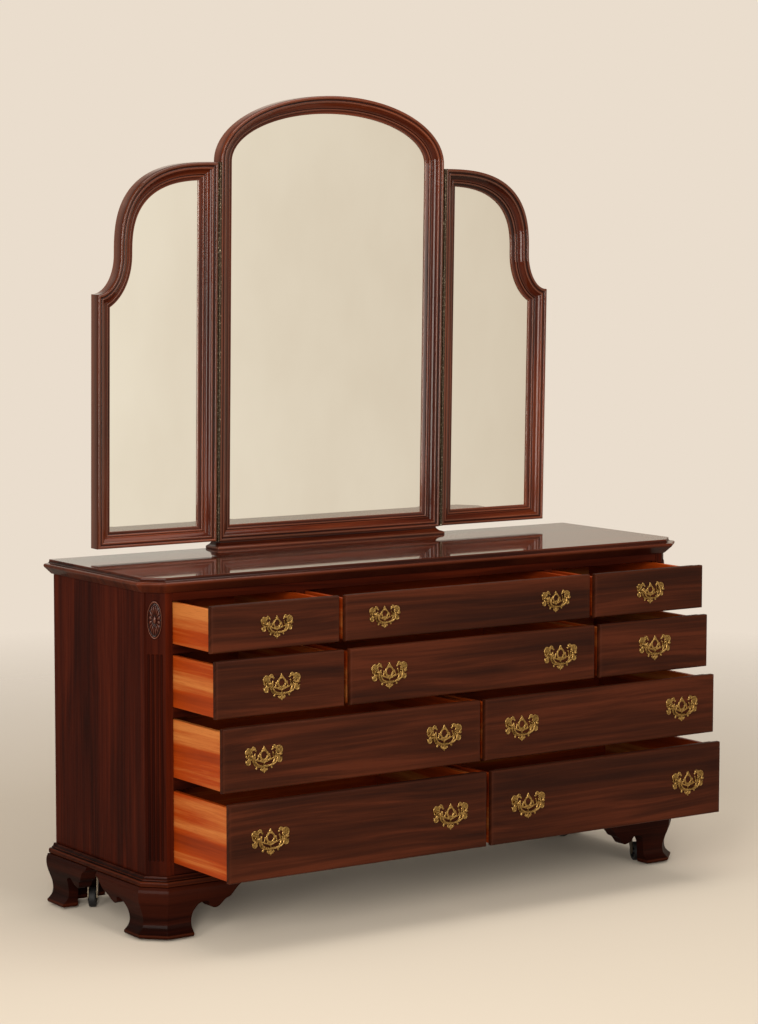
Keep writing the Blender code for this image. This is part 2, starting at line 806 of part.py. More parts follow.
def hinge_knuckle_meshes(first, axis_x, leaf_side, place):
    """Every second knuckle of a hinge, from the first one up, each with its leaf."""
    bottom = mirror_base_top + wing_bottom_gap
    length = (wing_top - bottom) / hinge_knuckles
    leaf_front = hinge_barrel_radius - hinge_leaf_thickness
    leaf_end = axis_x + leaf_side * (hinge_gap / 2 + hinge_leaf_bite)
    leaf = [(axis_x, leaf_front), (leaf_end, leaf_front), (leaf_end, hinge_barrel_radius),
            (axis_x, hinge_barrel_radius)]
    pieces = []
    for number in range(first, hinge_knuckles, 2):
        low = bottom + number * length
        high = low + length - joint_gap
        pieces.append(prism(leaf, low, high, place))
        pieces.append(round_bar((hinge_barrel_radius,) * 2, (low, high), post_sides,
                                lambda u, v, h: place(axis_x + u, v, h)))
    return pieces


def make_mirror_base():
    """The moulded block that the centre frame stands on."""
    rings = []
    bottom = top_height + joint_gap
    for edge, rise in zip(mirror_base_insets, mirror_base_rises):
        side, front = mirror_base_width / 2 - edge, mirror_base_front + edge
        height = bottom + rise + (bond_depth if rise == mirror_base_rises[-1] else 0.0)
        rings.append([(-side, front, height), (side, front, height), (side, case_depth, height),
                      (-side, case_depth, height)])
    return loft(rings)


def make_centre_frame():
    """The centre frame with its base, standards and hinge barrels."""
    frame = make_mirror_frame(arch_outline, mirror_place)
    pieces = [make_mirror_base()]
    back = mirror_place(0.0, moulding_depths[0], standard_top)[1]
    half = standard_width / 2
    for side in (-1, 1):
        middle = side * standard_offset
        pieces.append(box((middle - half, standard_front, standard_bottom),
                          (middle + half, standard_front + standard_thickness, standard_top)))
        pieces.append(box((middle - half, back - bond_depth, standard_top - cleat_height),
                          (middle + half, standard_front + bond_depth, standard_top)))
        pieces += hinge_knuckle_meshes(0, side * (centre_half_width + hinge_gap / 2), -side, mirror_place)
        upper = (middle - half, case_depth - bond_depth, top_height + joint_gap)
        lower = (middle + half, standard_front + bond_depth, mirror_base_top)
        pieces.append(box(upper, lower))
    return boolean(frame, pieces, "UNION")


def build_case(root, finishes):
    """The fixed woodwork below the mirror."""
    dark, plain = finishes["dark"], finishes["plain"]
    add_node("top_board", make_top_board(), dark, root)
    add_node("base_frame", make_base_frame(), dark, root)
    add_node("side_left", make_case_side(1), dark, root)
    add_node("side_right", make_case_side(-1), dark, root)
    add_node("back_panel", make_back_panel(), plain, root)
    add_node("drawer_frame", make_drawer_frame(), dark, root)


def build_feet(root, finishes):
    """The four feet and the casters behind them."""
    for side_name, side in (("left", -1), ("right", 1)):
        for end_name, front in (("front", True), ("back", False)):
            corner = end_name + "_" + side_name
            add_node("foot_" + corner, make_foot(side, front), finishes["dark"], root)
            end = caster_end_inset if front else case_depth - caster_end_inset
            place = (side * (half_width - caster_side_inset), end, 0.0)
            swivel = add_empty("swivel_" + corner, root, place, 180.0 + caster_turns_deg[corner])
            add_node("caster_fork_" + corner, make_fork(), finishes["steel"], swivel)
            wheel = add_node("caster_wheel_" + corner, make_wheel(), finishes["rubber"], swivel,
                             round_edge_deg)
            wheel.location = (0.0, caster_trail, wheel_radius + wheel_lift)


def build_drawers(root, finishes):
    """Each drawer's front, box and bails, hung from an empty that the drawer slides with."""
    for row, (bottom, top) in enumerate(row_levels()):
        scale = top_row_pull_scale if row == 0 else 1.0
        for column, (left, right) in column_edges(row_is_split_in_three[row]).items():
            name = row_names[row] + "_" + column
            middle = (left + right) / 2
            slider = add_empty("drawer_" + name, root, (middle, -row_openings[row], bottom))
            half = (right - left) / 2
            front_low = (-half - lip_side, -lip_below)
            front_high = (half + lip_side, top - bottom + lip_above)
            height = (front_low[1] + front_high[1]) / 2
            single = row_is_split_in_three[row] and column != "middle"
            apart = pull_place_share * half
            offsets = {"": 0.0} if single else {"_a": -apart, "_b": apart}
            places = [(offset, height - plate_drop) for offset in offsets.values()]
            add_node("drawer_front_" + name, make_drawer_front(front_low, front_high, places, scale),
                     finishes["dark"], slider)
            box_mesh = make_drawer_box(2 * (half - box_side_clearance), top - bottom - box_headroom)
            box_node = add_node("drawer_box_" + name, box_mesh, finishes["side"], slider)
            box_node.location = (0.0, 0.0, running_gap)
            for suffix, offset in offsets.items():
                bail = add_node("bail_" + name + suffix, make_bail(scale), finishes["brass"], slider,
                                round_edge_deg)
                bail.location = (offset, bail_axis_y(), height - plate_drop + scale * post_rise)


def build_mirror(root, finishes):
    """The centre mirror and the two wings, each wing hung from an empty on its hinge."""
    add_node("mirror_frame", make_centre_frame(), finishes["dark"], root)
    add_node("mirror_glass", make_mirror_glass(arch_outline, mirror_place), finishes["silver"],
             root)
    for side_name, side in (("left", -1), ("right", 1)):
        axis_x = side * (centre_half_width + hinge_gap / 2)
        hinge = add_empty("wing_hinge_" + side_name, root, (axis_x, mirror_front, mirror_base_top),
                          lean_deg=mirror_lean_deg)

        def hinge_place(u, depth, v):
            return (u, depth, v - mirror_base_top)

        def wing_place(u, depth, v, side=side):
            return hinge_place(side * (u + hinge_gap / 2), depth, v)

        frame = make_mirror_frame(wing_outline, wing_place)
        frame = boolean(frame, hinge_knuckle_meshes(1, 0.0, side, hinge_place), "UNION")
        add_node("wing_frame_" + side_name, frame, finishes["dark"], hinge)
        glass = make_mirror_glass(wing_outline, wing_place)
        add_node("wing_glass_" + side_name, glass, finishes["silver"], hinge)


def main():
    """Build the dresser."""
    clear_scene()
    finishes = {
        "dark": material("lacquered_cherry", wood_dark, 0.22, 0.0),
        "side": material("clear_finished_maple", wood_side, 0.40, 0.0),
        "plain": material("plain_plywood", wood_plain, 0.60, 0.0),
        "brass": material("aged_brass", brass, 0.35, 1.0),
        "silver": material("silvered_glass", mirror_silver, 0.03, 1.0),
        "steel": material("black_steel", black_steel, 0.45, 0.6),
        "rubber": material("black_rubber", black_rubber, 0.60, 0.0),
    }
    root = add_empty("case_front", None, (0.0, case_front_y, 0.0))
    build_case(root, finishes)
    build_feet(root, finishes)
    build_drawers(root, finishes)
    build_mirror(root, finishes)


main()
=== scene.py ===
"""Looks of a ten-drawer dresser with a three-part folding mirror.

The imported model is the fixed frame. The visible surfaces are built round it here, in
metres, +Z up, with the front of the dresser towards -Y; the back panel and the caster
forks keep their solids and take a finish. Sizes are fields of the classes, and the
drawers', pulls' and casters' places are read from the frame's own nodes and joints.
"""
from __future__ import annotations

import json
import logging
import math
from collections.abc import Callable, Sequence
from dataclasses import dataclass, replace
from enum import Enum

import bmesh
import bpy
import numpy as np
from mathutils import Matrix, Vector


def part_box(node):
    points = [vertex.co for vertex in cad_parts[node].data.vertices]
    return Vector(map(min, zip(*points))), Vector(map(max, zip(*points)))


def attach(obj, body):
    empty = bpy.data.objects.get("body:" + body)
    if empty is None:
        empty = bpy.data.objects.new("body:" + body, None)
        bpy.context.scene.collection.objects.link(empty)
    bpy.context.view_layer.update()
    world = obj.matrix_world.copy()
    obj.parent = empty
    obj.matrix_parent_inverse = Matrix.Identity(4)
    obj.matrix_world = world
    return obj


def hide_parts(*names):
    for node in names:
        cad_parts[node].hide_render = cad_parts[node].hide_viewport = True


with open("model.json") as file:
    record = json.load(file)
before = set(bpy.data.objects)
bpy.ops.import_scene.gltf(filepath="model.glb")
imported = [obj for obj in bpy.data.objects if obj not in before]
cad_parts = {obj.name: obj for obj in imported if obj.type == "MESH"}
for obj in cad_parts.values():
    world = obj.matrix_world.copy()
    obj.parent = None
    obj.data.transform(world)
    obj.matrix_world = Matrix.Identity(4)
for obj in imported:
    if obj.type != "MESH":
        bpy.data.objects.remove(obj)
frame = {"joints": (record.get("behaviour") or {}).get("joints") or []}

Array = np.ndarray
Material = bpy.types.Material
Node = bpy.types.Node
NodeTree = bpy.types.NodeTree
Piece = bpy.types.Object
Socket = bpy.types.NodeSocket
Knots = tuple[tuple[float, ...], ...]
Place = Callable[[Array, Array, Array], Array]
Triple = tuple[float, float, float]

log = logging.getLogger("dresser")

WORLD_NAME = "studio"
GRAIN_MAP = "grain"
# How much a point stands out: the cherry finishes paint shade, with glazing, into low places and
# highlights onto high ones by it
RELIEF = "relief"
MIRROR_SETBACK = 0.434
BASE_MOULDING = 0.0244
UP = np.array([0.0, 0.0, 1.0])


# Colours and nodes

def linear(code: str) -> tuple[float, float, float, float]:
    """Turn an sRGB hex colour into linear light.

    Args:
        code: The colour, such as "#4a1c10".
    Returns:
        Red, green and blue as linear values, and an alpha of one.
    """
    shares = np.array([int(code[place:place + 2], 16) for place in (1, 3, 5)]) / 255
    values = np.where(shares <= 0.04045, shares / 12.92, ((shares + 0.055) / 1.055) ** 2.4)
    return (*values.tolist(), 1.0)


def add_node(tree: NodeTree, kind: str, inputs: dict | None = None, **settings) -> Node:
    """Add a node with its settings, and set or link its inputs.

    Args:
        tree: The node tree.
        kind: The node's type name, without its "ShaderNode".
        inputs: What each input takes, by name or number: an output socket, a node's first
            output, an sRGB hex colour or a value.
        settings: The node's own properties.
    Returns:
        The new node.
    """
    made = tree.nodes.new("ShaderNode" + kind)
    for name, value in settings.items():
        setattr(made, name, value)
    for name, value in (inputs or {}).items():
        if isinstance(value, Node):
            value = value.outputs[0]
        if isinstance(value, Socket):
            tree.links.new(value, made.inputs[name])
        else:
            made.inputs[name].default_value = linear(value) if isinstance(value, str) else value
    return made


def new_material(name: str) -> tuple[Material, NodeTree]:
    """An empty node material and its tree."""
    made = bpy.data.materials.new(name)
    made.use_nodes = True
    made.node_tree.nodes.clear()
    return made, made.node_tree


def noise(tree: NodeTree, vector: Socket, repeats: Triple, detail: float = 2.0,
          roughness: float = 0.5) -> Socket:
    """Noise stretched along the axes.

    Args:
        tree: The node tree.
        vector: Coordinates in metres.
        repeats: How often the pattern comes back in a metre, along each axis.
        detail: How many finer layers it has.
        roughness: How strong the finer layers are.
    Returns:
        The noise's value, about 0.25 to 0.75.
    """
    stretched = add_node(tree, "Mapping", {"Vector": vector, "Scale": repeats})
    return add_node(tree, "TexNoise", {"Vector": stretched, "Scale": 1.0, "Detail": detail,
                                       "Roughness": roughness}).outputs["Fac"]


def layered(tree: NodeTree, base: Socket | str, over: str, value: Socket, low: float, high: float,
            most: float = 1.0) -> Socket:
    """Lay a colour over another, the more the further a value goes from low to high.

    Args:
        tree: The node tree.
        base: The colour below.
        over: The colour on top.
        value: What decides how much of it there is.
        low: The value where there is none.
        high: The value where there is the most.
        most: Its share there.
    Returns:
        The mixed colour.
    """
    share = add_node(tree, "MapRange", {0: value, 1: low, 2: high, 4: most})
    return add_node(tree, "Mix", {0: share, 6: base, 7: over}, data_type="RGBA").outputs[2]


# Finishes

class Grain(Enum):
    """Where a wood's pattern takes its direction from."""

    SURFACE = "surface"
    ALONG_X = "x"


def grain_vector(tree: NodeTree, grain: Grain) -> Socket:
    """Coordinates in metres whose first one runs along the grain."""
    if grain is Grain.SURFACE:
        return add_node(tree, "UVMap", uv_map=GRAIN_MAP).outputs[0]
    return add_node(tree, "TexCoord").outputs["Object"]


def warped(tree: NodeTree, vector: Socket, repeats: Triple, reach: float) -> Socket:
    """Coordinates pushed sideways by slow noise, so that grain lines wander.

    Args:
        tree: The node tree.
        vector: Coordinates in metres.
        repeats: The noise's repeats in a metre.
        reach: The most that a line wanders, in metres.
    Returns:
        The new coordinates.
    """
    slow = noise(tree, vector, repeats, 1.0)
    wander = add_node(tree, "MapRange", {0: slow, 1: 0.3, 2: 0.7, 3: -reach, 4: reach})
    push = add_node(tree, "CombineXYZ", {1: wander, 2: wander})
    return add_node(tree, "VectorMath", {0: vector, 1: push}, operation="ADD").outputs[0]


def wood_tones(tree: NodeTree, share: Node, low: float, high: float, tones: Sequence[str]) -> Socket:
    """Turn a pattern into a wood's colour.

    Args:
        tree: The node tree.
        share: The pattern.
        low: Its value where the first tone is.
        high: Its value where the third tone is.
        tones: Three colours, the second one halfway.
    Returns:
        The colour.
    """
    ramp = add_node(tree, "ValToRGB", {0: add_node(tree, "MapRange", {0: share, 1: low, 2: high})})
    ramp.color_ramp.elements.new(0.5)
    for element, tone in zip(ramp.color_ramp.elements, tones):
        element.color = linear(tone)
    return ramp.outputs[0]


@dataclass(frozen=True)
class Finish:
    """What every finish shares: its name, and a material made round its shader."""

    name: str

    def shader(self, tree: NodeTree) -> Node:
        """Build the shader, in the way of each finish."""
        raise NotImplementedError(self.name)

    def make(self) -> Material:
        """Build the material."""
        made, tree = new_material(self.name)
        add_node(tree, "OutputMaterial", {"Surface": self.shader(tree)})
        return made


@dataclass(frozen=True)
class LacqueredCherry(Finish):
    """Solid cherry, stained dark and finished by rubbing out clear lacquer over it, with glazing and
    painted shade in its recesses.

    The stain leaves soft flames and short dark pores along the grain. The lacquer lies
    over them as a thin gloss coat. A dark colour darkens quirks and carving, partly as
    glazing and partly as painted shade, and a light colour lightens beads and arrises as a
    painted highlight. rubbed_up is how much more gloss the faces that look up have,
    rubbed_beads how much more the beads.
    """

    deep: str = "#1f0a06"
    body: str = "#3c160c"
    flame: str = "#622915"
    glaze_and_shade: str = "#120504"
    painted_highlight: str = "#7c3a20"
    gloss: float = 0.06
    gloss_roughness: float = 0.16
    stain_specular: float = 0.10
    stain_roughness: float = 0.46
    pore_weight: float = 0.30
    pore_roughness: float = 0.12
    glaze_and_shade_weight: float = 0.85
    painted_highlight_weight: float = 0.45
    rubbed_up: float = 0.0
    rubbed_beads: float = 0.0

    def shader(self, tree: NodeTree) -> Node:
        """Build the shader."""
        place = warped(tree, grain_vector(tree, Grain.SURFACE), (1.6, 9.0, 9.0), 0.010)
        # Growth rings are 3 to 8 mm apart on a plank's face, and run for half a metre
        rings = noise(tree, place, (1.5, 62.0, 62.0), 4.0, 0.62)
        # Boards and stain differ in bands 60 to 150 mm wide
        bands = noise(tree, place, (1.1, 9.0, 9.0), 2.0)
        # Pores are 0.2 mm wide and are drawn 1.5 mm wide, so that they show
        pores = noise(tree, place, (22.0, 640.0, 640.0), 3.0, 0.7)
        share = add_node(tree, "Math", {0: rings, 1: bands}, operation="ADD")
        stain = wood_tones(tree, share, 0.78, 1.24, (self.deep, self.body, self.flame))
        pored = layered(tree, stain, self.deep, pores, 0.52, 0.74, self.pore_weight)
        relief = add_node(tree, "Attribute", attribute_name=RELIEF).outputs["Fac"]
        # Low places take the dark colour, partly glazing and partly painted shade
        glazed_and_shaded = layered(tree, pored, self.glaze_and_shade, relief, 0.50, 0.12, self.glaze_and_shade_weight)
        # High places take the light colour, a painted highlight
        highlighted = layered(tree, glazed_and_shaded, self.painted_highlight, relief, 0.55, 1.0, self.painted_highlight_weight)
        roughness = add_node(tree, "MapRange", {0: pores, 1: 0.4, 2: 0.75, 3: self.stain_roughness,
                                                4: self.stain_roughness + self.pore_roughness})
        bump = add_node(tree, "Bump", {"Height": pores, "Strength": 0.10, "Distance": 0.0004},
                        invert=True)
        gloss: float | Node = self.gloss
        if self.rubbed_up:
            facing = add_node(tree, "SeparateXYZ", {0: add_node(tree, "NewGeometry").outputs["Normal"]})
            gloss = add_node(tree, "MapRange", {0: facing.outputs["Z"], 1: 0.6, 2: 0.95, 3: self.gloss,
                                                4: self.gloss + self.rubbed_up})
        if self.rubbed_beads:
            gloss = add_node(tree, "MapRange", {0: relief, 1: 0.52, 2: 0.75, 3: self.gloss,
                                                4: self.gloss + self.rubbed_beads})
        return add_node(tree, "BsdfPrincipled", {
            "Base Color": highlighted, "Roughness": roughness, "IOR": 1.5,
            "Specular IOR Level": self.stain_specular,
            "Coat Weight": gloss, "Coat Roughness": self.gloss_roughness, "Coat IOR": 1.5,
            "Normal": bump})


@dataclass(frozen=True)
class PlainWood(Finish):
    """Maple, poplar or plywood, bare or under a thin clear finish, as used out of sight.

    Boards glued edge to edge differ in tone, so broad bands run along the grain.
    """

    dark: str = "#862f0c"
    body: str = "#b0430e"
    light: str = "#d58140"
    roughness: float = 0.46
    gloss: float = 0.03
    specular: float = 0.10
    fibre_weight: float = 0.30
    grain: Grain = Grain.SURFACE

    def shader(self, tree: NodeTree) -> Node:
        """Build the shader."""
        place = warped(tree, grain_vector(tree, self.grain), (1.2, 6.0, 6.0), 0.006)
        # Glued boards are 40 to 90 mm wide
        boards = noise(tree, place, (0.35, 17.0, 17.0), 1.0)
        # Growth rings are 3 to 6 mm apart
        rings = noise(tree, place, (3.0, 120.0, 120.0), 4.0, 0.6)
        # Fibres are too fine to show and are drawn 1 mm wide
        fibres = noise(tree, place, (30.0, 900.0, 900.0), 2.0)
        share = add_node(tree, "Math", {0: rings, 1: 0.45, 2: boards}, operation="MULTIPLY_ADD")
        plain = wood_tones(tree, share, 0.50, 0.96, (self.dark, self.body, self.light))
        streaked = layered(tree, plain, self.dark, fibres, 0.5, 0.75, self.fibre_weight)
        bump = add_node(tree, "Bump", {"Height": fibres, "Strength": 0.15, "Distance": 0.0003})
        return add_node(tree, "BsdfPrincipled", {
            "Base Color": streaked, "Roughness": self.roughness, "Specular IOR Level": self.specular,
            "Coat Weight": self.gloss, "Coat Roughness": 0.3, "Normal": bump})


@dataclass(frozen=True)
class CastBrass(Finish):
    """Cast brass, tumbled bright and toned brown, with patina left in its recesses."""

    bright: str = "#bf9a5c"
    toned: str = "#836436"
    patina: str = "#241809"
    patina_weight: float = 0.90
    roughness: float = 0.25

    def shader(self, tree: NodeTree) -> Node:
        """Build the shader."""
        place = add_node(tree, "TexCoord").outputs["Object"]
        # Casting skin mottles every 3 mm, tumbling marks are drawn 0.8 mm wide
        mottle = noise(tree, place, (320.0, 320.0, 320.0), 3.0)
        marks = noise(tree, place, (1200.0, 1200.0, 1200.0), 2.0)
        relief = add_node(tree, "Attribute", attribute_name=RELIEF).outputs["Fac"]
        tone = layered(tree, self.toned, self.bright, mottle, 0.35, 0.65)
        aged = layered(tree, tone, self.patina, relief, 0.56, 0.08, self.patina_weight)
        roughness = add_node(tree, "MapRange", {0: mottle, 1: 0.3, 2: 0.7, 3: self.roughness - 0.06,
                                                4: self.roughness + 0.12})
        bump = add_node(tree, "Bump", {"Height": marks, "Strength": 0.12, "Distance": 0.0002})
        return add_node(tree, "BsdfPrincipled", {
            "Base Color": aged, "Metallic": 1.0, "Roughness": roughness, "Normal": bump})


@dataclass(frozen=True)
class SilveredGlass(Finish):
    """Float glass silvered on its back, ground to a bevel and polished.

    The silver gives the whole reflection, faintly warm, and age gives it a slight
    dullness in broad patches.
    """

    silver: str = "#f9f6ef"
    dull: str = "#f4f0e8"

    def shader(self, tree: NodeTree) -> Node:
        """Build the shader."""
        place = add_node(tree, "TexCoord").outputs["Object"]
        # Age shows in patches 100 to 300 mm wide
        patches = noise(tree, place, (5.0, 5.0, 3.0), 3.0)
        tone = layered(tree, self.silver, self.dull, patches, 0.35, 0.7)
        roughness = add_node(tree, "MapRange", {0: patches, 1: 0.4, 2: 0.8, 3: 0.004, 4: 0.03})
        return add_node(tree, "BsdfPrincipled", {
            "Base Color": tone, "Metallic": 1.0, "Roughness": roughness})


@dataclass(frozen=True)
class WorkedSteel(Finish):
    """Pressed or rolled steel with a thin finish, scuffed where it rubs; on the hinge the finish is dark
    as painted shade and the scuffing is bright as painted glints.
    """

    finish: str
    scuff_and_glint: str
    metallic: float
    roughness: float

    def shader(self, tree: NodeTree) -> Node:
        """Build the shader."""
        place = add_node(tree, "TexCoord").outputs["Object"]
        # Scuffs are 2 to 4 mm long; on the hinge the bright scuffing paints glints along its knuckles
        scuffs_and_glints = noise(tree, place, (400.0, 400.0, 260.0), 4.0, 0.65)
        tone = layered(tree, self.finish, self.scuff_and_glint, scuffs_and_glints, 0.58, 0.70)
        roughness = add_node(tree, "MapRange", {0: scuffs_and_glints, 1: 0.3, 2: 0.7, 3: self.roughness - 0.08,
                                                4: self.roughness + 0.1})
        bump = add_node(tree, "Bump", {"Height": scuffs_and_glints, "Strength": 0.08, "Distance": 0.0002})
        return add_node(tree, "BsdfPrincipled", {
            "Base Color": tone, "Metallic": self.metallic, "Roughness": roughness, "Normal": bump})


@dataclass(frozen=True)
class MouldedRubber(Finish):
    """Hard black rubber, moulded, greyed by floor dust."""

    rubber: str = "#17171a"
    dust: str = "#3a3733"

    def shader(self, tree: NodeTree) -> Node:
        """Build the shader."""
        place = add_node(tree, "TexCoord").outputs["Object"]
        # Dust clings in specks 2 mm wide
        specks = noise(tree, place, (500.0, 500.0, 500.0), 3.0, 0.7)
        tone = layered(tree, self.rubber, self.dust, specks, 0.52, 0.72)
        roughness = add_node(tree, "MapRange", {0: specks, 1: 0.3, 2: 0.7, 3: 0.5, 4: 0.75})
        bump = add_node(tree, "Bump", {"Height": specks, "Strength": 0.1, "Distance": 0.0002})
        return add_node(tree, "BsdfPrincipled", {
            "Base Color": tone, "Roughness": roughness, "Normal": bump})


class Finishes:
    """The finished materials that the pieces share."""

    def __init__(self) -> None:
        """Build each material once."""
        # The cherry finishes paint shade, with glazing, into low places and a highlight onto beads and
        # arrises, by the relief of each point
        self.case = LacqueredCherry(
            "lacquered_cherry", deep="#2a0c06", body="#411408", flame="#581f0e", gloss=0.02,
            stain_specular=0.02).make()
        # The carved oval's light colour paints the highlight on its rim and petals
        self.carved = LacqueredCherry(
            "carved_cherry", deep="#2a0d06", body="#3e150a", flame="#521f10", painted_highlight="#9a6450",
            gloss=0.50, gloss_roughness=0.10, stain_specular=0.04).make()
        self.top = LacqueredCherry(
            "rubbed_cherry_top", deep="#2f1008", body="#471d10", flame="#5c2816", gloss=0.16,
            gloss_roughness=0.04, stain_specular=0.04, rubbed_up=0.74).make()
        # The fronts' light colour is dim, so their arrises take only a faint painted highlight
        self.front = LacqueredCherry(
            "drawer_front_cherry", deep="#2a120a", body="#3d1b0e", flame="#532615", painted_highlight="#4a2212",
            gloss=0.05, stain_specular=0.05).make()
        # The frames' light colour paints the highlights along their beads
        self.moulding = LacqueredCherry(
            "moulded_cherry", deep="#2b0e06", body="#4c1b0b", flame="#6e2f16", painted_highlight="#9c5838",
            gloss=0.36, gloss_roughness=0.07, rubbed_beads=0.54, stain_specular=0.03).make()
        # A darker copy of the cherry, for the base and the feet
        self.dark = LacqueredCherry(
            "dark_glazed_cherry", deep="#180704", body="#280d07", flame="#39150b", gloss=0.05,
            gloss_roughness=0.12, stain_specular=0.02).make()
        bare = {"roughness": 0.7, "gloss": 0.0}
        self.side = PlainWood("clear_finished_maple").make()
        self.hidden = PlainWood("unfinished_poplar", "#2c170c", "#422515", "#5e3a22", **bare).make()
        self.plywood = PlainWood("plain_plywood", "#6a4127", "#855a38", "#a07449", **bare).make()
        self.back = PlainWood("back_plywood", "#5c3720", "#77502f", "#93693f", **bare,
                              grain=Grain.ALONG_X).make()
        # The drawers' floors are painted near black, as the shade inside the drawers
        self.box_floor = PlainWood("stained_floor_board", "#22110a", "#321b0f", "#452918", **bare).make()
        self.brass = CastBrass("aged_brass").make()
        self.glass = SilveredGlass("silvered_glass").make()
        # The hinge's steel is painted dark, as the shade in the gap between the frames, and its bright
        # scuffing paints glints along its knuckles
        self.hinge = WorkedSteel("brass_plated_steel", "#40352a", "#e2d2b4", metallic=1.0,
                                 roughness=0.34).make()
        self.steel = WorkedSteel("black_steel", "#1b1b1d", "#55534f", metallic=0.6, roughness=0.42).make()
        self.fork = WorkedSteel("plated_fork_steel", "#6a5f50", "#a4977f", metallic=1.0,
                                roughness=0.38).make()
        self.rubber = MouldedRubber("black_rubber").make()


# Sections, paths and shells

def smooth_line(knots: Sequence[tuple[float, float]], steps: int) -> Array:
    """A curve through knots in a plane.

    Between two knots the curve is the usual cubic whose slope at a knot is half the step
    from the knot before it to the knot after it.

    Args:
        knots: The points to pass through.
        steps: Points for each span.
    Returns:
        The curve's points, one per row, with both ends.
    """
    known = np.asarray(knots, float)
    padded = np.vstack([2 * known[0] - known[1], known, 2 * known[-1] - known[-2]])
    share = np.linspace(0, 1, steps, endpoint=False)[None, :, None]
    before, here, there, after = (padded[start:len(padded) - 3 + start, None, :] for start in range(4))
    curve = 0.5 * (2 * here + (there - before) * share
                   + (2 * before - 5 * here + 4 * there - after) * share ** 2
                   + (3 * here - before - 3 * there + after) * share ** 3)
    return np.vstack([curve.reshape(-1, known.shape[1]), known[-1:]])


def eased(line: Array, cut: float, closed: bool = False) -> Array:
    """A line in a plane with its sharp corners cut back.

    A corner of more than 26 degrees is replaced by the start, middle and end of a
    parabola that touches both of its sides, at most 0.4 of either side from it.

    Args:
        line: The points, one per row.
        cut: How far a corner is cut back, in metres.
        closed: Whether the last point joins the first.
    Returns:
        The new points.
    """
    if not cut:
        return line
    back, ahead = np.roll(line, 1, axis=0) - line, np.roll(line, -1, axis=0) - line
    lengths = [np.maximum(np.linalg.norm(course, axis=1), 1e-9) for course in (back, ahead)]
    back, ahead = back / lengths[0][:, None], ahead / lengths[1][:, None]
    sharp = (back * ahead).sum(axis=1) > -0.90
    if not closed:
        sharp[[0, -1]] = False
    reach = np.minimum(cut, 0.4 * np.minimum(*lengths))[:, None]
    entry, leave = line + back * reach, line + ahead * reach
    middle = np.where(sharp[:, None], 0.25 * entry + 0.5 * line + 0.25 * leave, line)
    keep = np.stack([sharp, np.ones(len(line), bool), sharp], axis=1)
    return np.stack([entry, middle, leave], axis=1)[keep]


class Section:
    """A moulding's section, drawn point by point the way a cutter follows it.

    A point is (inset or overhang, level) in metres.
    """

    def __init__(self, start: tuple[float, float]) -> None:
        """Start the section at a point."""
        self.parts = [np.array([start], float)]

    def to(self, *points: tuple[float, float]) -> Section:
        """Go straight to each point."""
        self.parts.append(np.array(points, float))
        return self

    def arc(self, end: tuple[float, float], bulge: float, steps: int = 7) -> Section:
        """Go to a point along a circle's arc.

        The arc's half angle is twice the angle whose tangent is the bulge, which is the
        arc's height as a share of half its chord; a positive one bulges to the right of
        the way ahead.

        Args:
            end: Where the arc ends.
            bulge: Height over half chord.
            steps: Spans that the arc is drawn with.
        Returns:
            The section itself.
        """
        start, end = self.parts[-1][-1], np.asarray(end, float)
        half = 2 * math.atan(abs(bulge))
        turn = np.linspace(-half, half, steps + 1)[1:]
        along = 0.5 + np.sin(turn) / (2 * math.sin(half))
        out = (np.cos(turn) - math.cos(half)) / (2 * math.sin(half)) * math.copysign(1.0, bulge)
        chord = end - start
        right = np.array([chord[1], -chord[0]])
        self.parts.append(start + along[:, None] * chord + out[:, None] * right)
        return self

    def points(self, ease: float = 0.0) -> Array:
        """The section's points, with its sharp corners eased."""
        return eased(np.vstack(self.parts), ease)


def arc_length(points: Array, closed: bool = False) -> Array:
    """The length along a line up to each of its points, and back to the first if it is closed."""
    line = np.vstack([points, points[:1]]) if closed else points
    steps = np.linalg.norm(np.diff(line, axis=0), axis=1)
    return np.concatenate([[0.0], np.cumsum(steps)])


def section_relief(section: Array, closed: bool = False, window: float = 0.004) -> Array:
    """How much each point of a section stands out, from 0 in a recess to 1 on a bead.

    The mean of the section within a window round the point is taken from the point. Its
    part along the section's right-hand normal, over 1 mm, is half the distance from 0.5.

    Args:
        section: The section's points, with the outside on the right of the way ahead.
        closed: Whether the section joins up.
        window: How far the mean reaches to either side, in metres.
    Returns:
        One value for each point.
    """
    lengths = arc_length(section, closed)
    line = np.vstack([section, section[:1]]) if closed else section
    total = lengths[-1]

    def across(distances: Array) -> list[Array]:
        """Both coordinates at distances along the section, held to its ends or going round."""
        held = distances % total if closed else np.clip(distances, 0.0, total)
        return [np.interp(held, lengths, line[:, axis]) for axis in (0, 1)]

    places = lengths[:len(section), None] + np.linspace(-window, window, 17)[None, :]
    mean = np.stack([values.mean(axis=1) for values in across(places)], axis=1)
    course = np.stack(across(places[:, -5]), axis=1) - np.stack(across(places[:, 4]), axis=1)
    course /= np.maximum(np.linalg.norm(course, axis=1), 1e-9)[:, None]
    right = np.stack([course[:, 1], -course[:, 0]], axis=1)
    return np.clip(0.5 + 0.5 * ((section - mean) * right).sum(axis=1) / 0.001, 0.0, 1.0)


